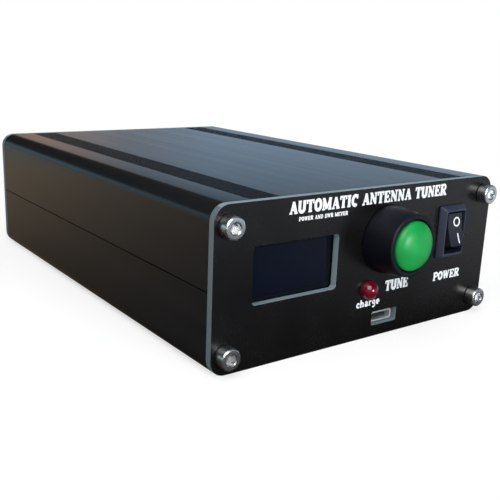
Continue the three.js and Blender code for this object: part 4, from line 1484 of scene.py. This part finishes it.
def socket_body(node):
    low, high, centre, size = extent(node)
    holes = [circle(x, z, FLANGE_HOLE, 16) for x, z in flange_corners(node)]
    sides, barrel, bore = 48, BARREL_RADIUS, INSULATOR_RADIUS + GAP
    holes.append(circle(centre.x, centre.z, (barrel + bore) / 2, sides))
    outline = round_rectangle(centre.x, centre.z, size.x, size.z, FLANGE_CORNER, 5)
    flange = slab(outline, low.y, low.y + FLANGE_THICKNESS, holes)
    pitch = sizes().thread_pitch / MM
    start = low.y + FLANGE_THICKNESS + 1.2
    rings = [
        circle_at(bore, low.y, sides), circle_at(barrel, low.y, sides),
        circle_at(barrel, start - 0.1, sides),
    ]
    rings += threaded(barrel, SOCKET_THREAD_DEPTH, pitch, start, high.y - 0.7, sides)
    rings += [circle_at(barrel - 0.45, high.y, sides), circle_at(bore + 0.2, high.y, sides)]
    rings.append(circle_at(bore, high.y - 0.25, sides))
    tube = moved(skin(rings, closed=True), (centre.x, 0, centre.z))
    notches = []
    for turn in NOTCH_TURNS:
        notch = moved(block(*NOTCH), turn=turn, axis="Y")
        notches.append(moved(notch, (centre.x, high.y, centre.z)))
    return carve(fuse(flange, tube), *notches)


class MakeSockets(bpy.types.Operator):
    """Makes the two coaxial sockets: threaded body, insulator and split contact"""

    bl_idname = "tuner.make_sockets"
    bl_label = "Coaxial sockets"

    def execute(self, context):
        for name in SOCKET_NODES:
            piece(f"{name}_shell", socket_body(f"{name}_body"), [nickel],
                stands_for=[f"{name}_body"], slot="nickel",
                  angle=40)
            low, high, centre, size = extent(f"{name}_insulator")
            outer, inner = size.x / 2, INSULATOR_BORE
            profile = [
                [inner, low.y], [outer, low.y], [outer, high.y - 0.6], [outer - 0.6, high.y],
                [outer - 1.6, high.y],
            ]
            profile += [
                [outer - 1.6, high.y - 0.8], [inner + 0.9, high.y - 0.8], [inner + 0.9, high.y],
                [inner, high.y],
            ]
            core = turned(profile, centre.x, centre.z, 40, closed=True)
            piece(
                f"{name}_core", core, [insulator_plastic], stands_for=[f"{name}_insulator"],
                slot="insulator",
            )
            low, high, _, size = extent(f"{name}_contact")
            outer, bore, floor = size.x / 2, CONTACT_BORE, high.y - CONTACT_DEPTH
            profile = [
                [0, low.y], [outer, low.y], [outer, high.y - 0.4], [outer - 0.2, high.y],
                [bore + 0.1, high.y],
            ]
            profile += [[bore, high.y - 0.2], [bore, floor], [0, floor]]
            pin = turned(profile, centre.x, centre.z, 32)
            slots = cross_slots(centre.x, centre.z, 3, 0.25, high.y - 6, high.y + 1)
            piece(
                f"{name}_pin", carve(pin, *slots), [brass], stands_for=[f"{name}_contact"],
                slot="brass",
            )
        return {"FINISHED"}


def wing_outline():
    """Both wings of the nut seen from above, x across and y along the stud."""
    right = [(3, 0.6), (9.6, 4.0), *arc(10, 7.4, 2, -65, 130, 12), (6, 6.6), (3, 4.0)]
    return right + [(-x, y) for x, y in reversed(right)]


def wings():
    """The two wings, drawn out to their thickness in z."""
    return moved(slab(wing_outline(), -0.9, 0.9), turn=-90, axis="X")


class MakeGround(bpy.types.Operator):
    """Makes the ground terminal: threaded stud, washer and wing nut"""

    bl_idname = "tuner.make_ground"
    bl_label = "Ground terminal"

    def execute(self, context):
        low, high = box_of("ground_stud")
        plate_front, plate_rear = box_of("rear_panel")
        centre, rear, sides = (low + high) / 2, plate_rear.y, 32
        head_edge = plate_front.y - 0.1
        rings = [[(0, low.y, 0)], circle_at(4.2, low.y, sides), circle_at(4.4, low.y + 0.2, sides)]
        rings += [circle_at(4.4, head_edge, sides), circle_at(STUD_RADIUS, head_edge, sides)]
        rings += threaded(STUD_RADIUS, 0.4, 0.8, rear + 0.6, high.y - 0.5, sides)
        rings += [circle_at(STUD_RADIUS - 0.45, high.y, sides), [(0, high.y, 0)]]
        stud = moved(skin(rings), (centre.x, 0, centre.z))
        piece("ground_bolt", stud, [brass], stands_for=["ground_stud"], slot="brass", angle=40)
        profile = [[2.7, rear + 0.05], [5.2, rear + 0.05], [5.2, rear + 0.95], [2.7, rear + 0.95]]
        washer = turned(profile, centre.x, centre.z, 40, closed=True)
        piece("ground_washer", washer, [nickel], slot="nickel", edge=0.12)
        profile = [[2.7, rear + 1.05], [4.4, rear + 1.05], [4.9, rear + 1.5], [4.9, rear + 3.3],
            [4.4, rear + 3.75],
                   [2.7, rear + 3.75]]
        nut = turned(profile, centre.x, centre.z, 6, closed=True)
        piece("ground_nut", nut, [brass], slot="brass", edge=0.15)

        low, _ = box_of("ground_wing_nut")
        hub = [
            [STUD_RADIUS + 0.1, 0], [4.2, 0], [4.4, 0.2], [3.75, 4.3], [3.5, 4.5],
            [STUD_RADIUS + 0.1, 4.5],
        ]
        nut = fuse(turned(hub, sides=40, closed=True), wings())
        bore = turned([[0, -1], [STUD_RADIUS + 0.1, -1], [STUD_RADIUS + 0.1, 6], [0, 6]], sides=40)
        nut = moved(carve(nut, bore), (centre.x, low.y, centre.z))
        piece("wing_nut_body", nut, [brass], "wing_nut", ["ground_wing_nut"], "brass", edge=0.3)
        return {"FINISHED"}


# ---- inside -------------------------------------------------------------------------
RELAYS = [f"relay_{i}" for i in range(1, 15)]


def on_board(solid, centre, z, turn=90):
    """A shape drawn along Y stood up along Z on the board."""
    moved(solid, turn=turn, axis="X")
    return moved(solid, (centre[0], centre[1], z))


class MakeBoard(bpy.types.Operator):
    """Makes the main board, its controller and the two rows of relays"""

    bl_idname = "tuner.make_board"
    bl_label = "Main board"

    def execute(self, context):
        low, high = box_of("main_board")
        inset = 4
        ends = (-low.y - inset, -high.y + inset)
        holes = [circle(a * (high.x - inset), y, 1.6, 20) for a in (-1, 1) for y in ends]
        outline = [(low.x, -low.y), (low.x, -high.y), (high.x, -high.y), (high.x, -low.y)]
        board = on_board(slab(outline, low.z, high.z, holes), (0, 0), 0)
        piece(
            "main_board_plate", board, [board_green], stands_for=["main_board"], slot="board",
            edge=0.1,
        )

        low, high, middle, _ = extent("controller_chip")
        outline = [(low.x, -high.y), (high.x, -high.y), (high.x, -low.y), (low.x, -low.y)]
        outline += arc(low.x, -middle.y, 1.2, 90, -90, 8)
        chip = on_board(slab(outline, low.z, high.z), (0, 0), 0)
        piece(
            "controller_body", chip, [chip_plastic], stands_for=["controller_chip"],
            slot="gloss_black", edge=0.25,
        )
        pin = gather(
            block((-0.6, 0, 1.2), (0.6, 0.3, 2.2)), block((-0.25, 0, -0.2), (0.25, 0.3, 1.25)),
        )
        pins = [(middle.x + (i - 6.5) * PIN_PITCH, y, low.z, turn)
                for y, turn in ((high.y + 0.05, 0), (low.y - 0.05, 180)) for i in range(14)]
        piece_from("controller_pins", repeat(pin, pins, finish(nickel), "pins"))

        low, high, _, size = extent("relay_1")
        case = relay_case(size.x / 2, size.y / 2, size.z)
        places = []
        for node in RELAYS:
            middle = middle_of(node)
            places.append((middle.x, middle.y, low.z, 0 if middle.x > 0 else 180))
        piece_from("relay_cases", repeat(case, places, finish(relay_plastic), "relays"),
                   stands_for=RELAYS, angle=50)
        pin = block((-0.3, -0.5, -0.25), (0.3, 0.5, 0.35))
        feet = [(x + a, y + b, z, 0) for x, y, z, _ in places for a in (-6, 6) for b in (-5, 5)]
        piece_from("relay_pins", repeat(pin, feet, finish(nickel), "pins"))
        return {"FINISHED"}


def relay_case(half_x, half_y, height):
    """A moulded box with round top edges, a parting step near its foot and a vent nib."""
    rings = []
    for inset, z in (
        (0.35, 0), (0.35, 1.2), (0, 1.3), (0.12, height - 0.9), (0.3, height - 0.35), (0.75, height)
    ):
        flat = round_rectangle(0, 0, 2 * (half_x - inset), 2 * (half_y - inset), 0.8, 3)
        rings.append([(x, y, z) for x, y in flat])
    box = skin([[(0, 0, 0)], *rings, [(0, 0, height)]])
    nib = moved(turned([[0, -0.1], [0.9, -0.1], [0.7, 0.15], [0, 0.15]], sides=12), turn=90)
    return gather(box, moved(nib, (half_x - 3, half_y - 3, height - 0.15)))


def toroid_winding(ring_inner, ring_outer, height, wire, turns, material):
    """Wire wound round a ring that lies flat, most of the way round, centred on the origin."""
    tree = Shaping(
        "winding", middle=(ring_inner + ring_outer) / 2,
        across=(ring_outer - ring_inner + wire) / 2,
        up=(height + wire) / 2, wire=wire / 2, turns=turns, steps=turns * 14, finish=material,
    )
    line = tree.node("GeometryNodeCurvePrimitiveLine", {}, {"End": (0.0, 0.0, 1.0)})
    path = tree.node("GeometryNodeResampleCurve", {}, {"Curve": line, "Count": tree.given("steps")})
    part = tree.node("GeometryNodeInputIndex") / tree.given("steps")
    wound = part * tree.given("turns") * (2 * math.pi)
    around = part * (1.75 * math.pi) + 0.3
    side, rise = wound.cosine(), wound.sine()
    square = side.size().larger(rise.size()) ** 0.8  # towards the ring's square section
    radius = tree.given("middle") + side / square * tree.given("across")
    place = tree.node("ShaderNodeCombineXYZ", {}, {
        "X": radius * around.cosine(), "Y": radius * around.sine(),
        "Z": rise / square * tree.given("up"),
    })
    laid = tree.node("GeometryNodeSetPosition", {}, {"Geometry": path, "Position": place})
    circle_profile = tree.node(
        "GeometryNodeCurvePrimitiveCircle", {}, {"Resolution": 6, "Radius": tree.given("wire")},
    )
    tube = tree.node(
        "GeometryNodeCurveToMesh", {},
        {"Curve": laid, "Profile Curve": circle_profile, "Fill Caps": True}
    )
    tree.finish_with(tube)
    return tree.run()


TOROID_RADII, TOROID_EDGE = (6.6, 9.0), 0.5
AIR_COIL_RADIUS, AIR_COIL_WIRE, AIR_COIL_TURNS = 5, 0.6, 5
BRIDGE_HOLE_X = 2.85


class MakeWindings(bpy.types.Operator):
    """Makes the wound toroids, the air-cored coils and the bridge transformer"""

    bl_idname = "tuner.make_windings"
    bl_label = "Windings"

    def execute(self, context):
        s = sizes()
        wire = s.wire / MM
        for i in range(1, 5):
            node = f"toroid_inductor_{i}"
            _, _, centre, size = extent(node)
            inner, outer, edge = *TOROID_RADII, TOROID_EDGE
            height = size.z - 2 * wire - 0.1
            profile = [[inner + edge, 0], [outer - edge, 0], [outer, edge], [outer, height - edge],
                       [outer - edge, height], [inner + edge, height], [inner, height - edge],
                       [inner, edge]]
            core = turned(profile, sides=40, closed=True)
            on_board(core, (centre.x, centre.y), centre.z - height / 2)
            piece(f"toroid_core_{i}", core, [ferrite_red], stands_for=[node], slot="core", angle=50)
            mesh = toroid_winding(inner, outer, height, wire, s.toroid_turns, finish(copper))
            mesh.transform(Matrix.Translation(centre))
            piece_from(f"toroid_winding_{i}", mesh, angle=60)
        for i in range(1, 4):
            low, _, centre, size = extent(f"air_coil_{i}")
            length_y = size.y - 2 * AIR_COIL_WIRE
            mesh = coil(
                "air_coil", AIR_COIL_RADIUS, AIR_COIL_WIRE, length_y, AIR_COIL_TURNS, finish(copper)
            )
            mesh.transform(Matrix.Translation((centre.x, low.y + AIR_COIL_WIRE, centre.z)))
            piece_from(
                f"air_coil_wire_{i}", mesh, stands_for=[f"air_coil_{i}"], angle=60,
            )
        low, high, centre, size = extent("bridge_transformer_core")
        holes = [circle(centre.x + side * BRIDGE_HOLE_X, centre.z, 1.9, 24) for side in (-1, 1)]
        outline = round_rectangle(centre.x, centre.z, size.x, size.z, 2.4, 6)
        core = slab(outline, low.y, high.y, holes)
        piece(
            "bridge_core", core, [ferrite_grey], stands_for=["bridge_transformer_core"],
            slot="ferrite", edge=0.25,
        )
        wires = []
        for side in (-1, 1):
            profile = [[0, low.y - 2], [0.5, low.y - 2], [0.5, high.y + 2], [0, high.y + 2]]
            wires.append(turned(profile, centre.x + side * BRIDGE_HOLE_X, centre.z, 16))
        piece("bridge_leads", gather(*wires), [copper], slot="copper")
        return {"FINISHED"}


POUCH_SEAM = 3  # length of the flat seam at the end of a cell


class MakeBattery(bpy.types.Operator):
    """Makes the two pouch cells under the top wall"""

    bl_idname = "tuner.make_battery"
    bl_label = "Battery"

    def execute(self, context):
        for i in (1, 2):
            node = f"battery_cell_{i}"
            low, high, centre, size = extent(node)
            rings = []
            for inset, y in (
                (1.6, 0), (0.5, 0.25), (0, 1.2), (0, size.y - 4.2), (0.6, size.y - 3.4),
                (2.2, size.y - 3),
            ):
                flat = round_rectangle(
                    centre.x, centre.z, size.x - 2 * inset, size.z - 2 * inset, 1.8, 5,
                )
                rings.append(ring_at(flat, low.y + y))
            end = (centre.x, high.y - POUCH_SEAM, centre.z)
            pouch = skin([[(centre.x, low.y, centre.z)], *rings, [end]])
            lip = block(
                (low.x + 1, high.y - 3.2, centre.z - 0.15), (high.x - 1, high.y, centre.z + 0.15),
            )
            piece(
                f"battery_pouch_{i}", fuse(pouch, lip), [battery_wrap], stands_for=[node],
                slot="foil", angle=50,
            )
        return {"FINISHED"}


# ---- studio -------------------------------------------------------------------------
CAMERA_PLACE = (-0.13516, -0.19972, 0.07354)
CAMERA_YAW, CAMERA_PITCH, CAMERA_ROLL = 0.616, 0.260, 0.033  # radians
CAMERA_SHIFT = (0.04, -0.01)
SENSOR_WIDTH = 36
NEAREST, FARTHEST = 0.01, 20  # metres the camera sees


def make_camera():
    lens = bpy.data.cameras.new("camera")
    lens.lens = bpy.context.scene.tuner_studio.lens
    lens.sensor_width = SENSOR_WIDTH
    lens.shift_x, lens.shift_y = CAMERA_SHIFT
    lens.clip_start, lens.clip_end = NEAREST, FARTHEST
    camera = bpy.data.objects.new("camera", lens)
    turn = Matrix.Rotation(-CAMERA_YAW, 4, "Z") @ Matrix.Rotation(
        math.pi / 2 - CAMERA_PITCH, 4, "X",
    )
    camera.matrix_world = Matrix.Translation(CAMERA_PLACE) @ turn @ Matrix.Rotation(
        CAMERA_ROLL, 4, "Z",
    )
    bpy.context.scene.collection.objects.link(camera)
    bpy.context.scene.camera = camera


def make_light(name, place, aim, size, power, shade, mirrored):
    lamp = bpy.data.lights.new(name, "AREA")
    lamp.size = size
    lamp.energy, lamp.color = power, shade
    light = bpy.data.objects.new(name, lamp)
    light.rotation_euler = (Vector(aim) - Vector(place)).to_track_quat("-Z", "Y").to_euler()
    light.location = place
    light.visible_glossy = mirrored
    bpy.context.scene.collection.objects.link(light)


# degrees clockwise from straight behind the case, and the wall's shade there
ROOM_WALLS = (
    (-180, (0.50, 0.50, 0.50)), (-80, (0.42, 0.42, 0.42)), (-42, (0.34, 0.52, 0.62)),
    (-24, (0.34, 0.52, 0.62)),
    (-8, (0.10, 0.13, 0.16)), (12, (0.30, 0.22, 0.18)), (20, (0.66, 0.48, 0.40)),
    (27, (0.38, 0.43, 0.50)),
    (34, (0.43, 0.61, 0.82)), (56, (0.50, 0.66, 0.84)), (80, (0.40, 0.42, 0.46)),
    (180, (0.50, 0.50, 0.50)),
)
ROOM_HEIGHT = ((0.0, 1.0), (0.15, 1.0), (0.24, 0.05), (0.45, 0.08), (1.0, 0.5))


def make_room():
    """Walls that darken upwards, so that black surfaces read as black; white for the camera."""
    world = bpy.data.worlds.new("room")
    world.use_nodes = True
    world.node_tree.nodes.clear()
    w = Nodes(world.node_tree)
    way = w.node("ShaderNodeTexCoord", out="Generated")
    across, along, up = [
        w.node("ShaderNodeSeparateXYZ", {}, {"Vector": way}, out=axis) for axis in "XYZ"
    ]
    round_about = across.math("ARCTAN2", across, along) / (2 * math.pi) + 0.5
    walls = w.node("ShaderNodeValToRGB",
        {"stops": [(0.5 + turn / 360, shade) for turn, shade in ROOM_WALLS]}, {
        "Fac": round_about,
    })
    height = w.node("ShaderNodeValToRGB", {"stops": ROOM_HEIGHT}, {"Fac": up})
    level = w.node(
        "ShaderNodeMix", {"data_type": "RGBA", "blend_type": "MULTIPLY"},
        {0: 1.0, 6: walls, 7: height}, out=2,
    )
    sky = bpy.context.scene.tuner_studio.sky
    seen = w.node("ShaderNodeLightPath", out="Is Camera Ray")
    room = w.node("ShaderNodeBackground", {}, {"Color": level, "Strength": sky})
    backdrop = w.node("ShaderNodeBackground", {}, {"Color": (1, 1, 1, 1), "Strength": 1.0})
    both = w.node("ShaderNodeMixShader", {}, {0: seen, 1: room, 2: backdrop})
    w.node("ShaderNodeOutputWorld", {}, {"Surface": both})
    bpy.context.scene.world = world


def floor_paper():
    """Paper that fades to white far off; reflections see a brown table with a lit front."""
    f = Finish("floor_paper")
    fibre = f.grain(3, 3)
    away = f.node(
        "ShaderNodeVectorMath", {"operation": "LENGTH"}, {"Vector": f.place()}, out="Value",
    )
    beside = f.blend(f.spread("Y", -50, 220), (0.045, 0.036, 0.027), (0.42, 0.32, 0.21))
    before = f.blend(f.spread("X", 0, 170), (0.07, 0.07, 0.075), (0.55, 0.55, 0.57))
    table = f.blend(f.spread("Y", -90, -72), before, beside)
    table = f.blend(f.ramp(away, (0.32, 0), (0.5, 1)), table, (0.30, 0.46, 0.56))
    mirrored = f.node("ShaderNodeLightPath", out="Is Glossy Ray")
    tone = f.blend(mirrored, f.blend(fibre, (0.86, 0.86, 0.86), (0.9, 0.9, 0.9)), table)
    paper = f.node("ShaderNodeBsdfDiffuse", {}, {"Color": tone, "Roughness": 0.9})
    white = f.node("ShaderNodeEmission", {}, {"Color": (1, 1, 1, 1), "Strength": 1.0})
    seen = f.node("ShaderNodeLightPath", out="Is Camera Ray")
    fade = f.ramp(away, (0.05, 0.6), (0.22, 1)) * seen
    surface = f.node("ShaderNodeMixShader", {}, {0: fade, 1: paper, 2: white})
    f.node("ShaderNodeOutputMaterial", {}, {"Surface": surface})
    return f.material


FLOOR_HALF, FLOOR_GAP = 2500, 0.05

# name, place, aim, size, part of the key's power, shade, seen in reflections; in metres
LIGHTS = (
    ("key", (-0.35, -0.42, 0.55), (0, -0.05, 0.02), 0.6, 1, (1, 0.98, 0.96), True),
    ("window", (0.06, -0.86, 0.13), (0, -0.07, 0.03), 0.24, 0.75, (0.82, 0.94, 1), True),
    ("overhead", (0.1, 0.2, 0.9), (0, 0, 0), 1.4, 1.6, (0.96, 0.98, 1), False),
)


class MakeStudio(bpy.types.Operator):
    """Sets the pale floor, the soft lights, the room and the camera"""

    bl_idname = "tuner.make_studio"
    bl_label = "Studio"

    def execute(self, context):
        scene = context.scene
        scene.view_settings.view_transform = "Standard"
        make_camera()
        make_room()
        half, depth = FLOOR_HALF * MM, -FLOOR_GAP * MM
        paper = bmesh.new()
        corners = ((-half, -half), (half, -half), (half, half), (-half, half))
        paper.faces.new([paper.verts.new((x, y, depth)) for x, y in corners])
        floor = shown("floor", paper)
        floor.data.materials.append(finish(floor_paper))
        for name, place, aim, size, share, shade, mirrored in LIGHTS:
            make_light(name, place, aim, size, scene.tuner_studio.key * share, shade, mirrored)
        return {"FINISHED"}


OPERATORS = (
    MakeStudio, MakeCase, MakePlates, MakeLettering, MakeScrews, MakeDisplay, MakeButton,
    MakeRocker, MakeCharge,
    MakeSockets, MakeGround, MakeBoard, MakeWindings, MakeBattery,
)


class TunerPanel(bpy.types.Panel):
    """Lists the pieces and their settings in the sidebar"""

    bl_idname = "VIEW3D_PT_tuner"
    bl_label = "Antenna tuner"
    bl_space_type = "VIEW_3D"
    bl_region_type = "UI"
    bl_category = "Tuner"

    def draw(self, context):
        layout = self.layout
        for operator in OPERATORS:
            layout.operator(operator.bl_idname)
        for settings in (
            context.scene.tuner_sizes, context.scene.tuner_colours, context.scene.tuner_studio,
        ):
            box = layout.box()
            for field in settings.bl_rna.properties:
                if field.identifier not in ("rna_type", "name"):
                    box.prop(settings, field.identifier)


SETTINGS = (
    ("tuner_sizes", TunerSizes), ("tuner_colours", TunerColours), ("tuner_studio", StudioSettings),
)


def register():
    for name, group in SETTINGS:
        bpy.utils.register_class(group)
        setattr(bpy.types.Scene, name, bpy.props.PointerProperty(type=group))
    for kind in (*OPERATORS, TunerPanel):
        bpy.utils.register_class(kind)


def unregister():
    for kind in (TunerPanel, *reversed(OPERATORS)):
        bpy.utils.unregister_class(kind)
    for name, group in reversed(SETTINGS):
        delattr(bpy.types.Scene, name)
        bpy.utils.unregister_class(group)


def main():
    register()
    for operator in OPERATORS:
        getattr(bpy.ops.tuner, operator.bl_idname.split(".")[1])()


if __name__ == "__main__":
    main()
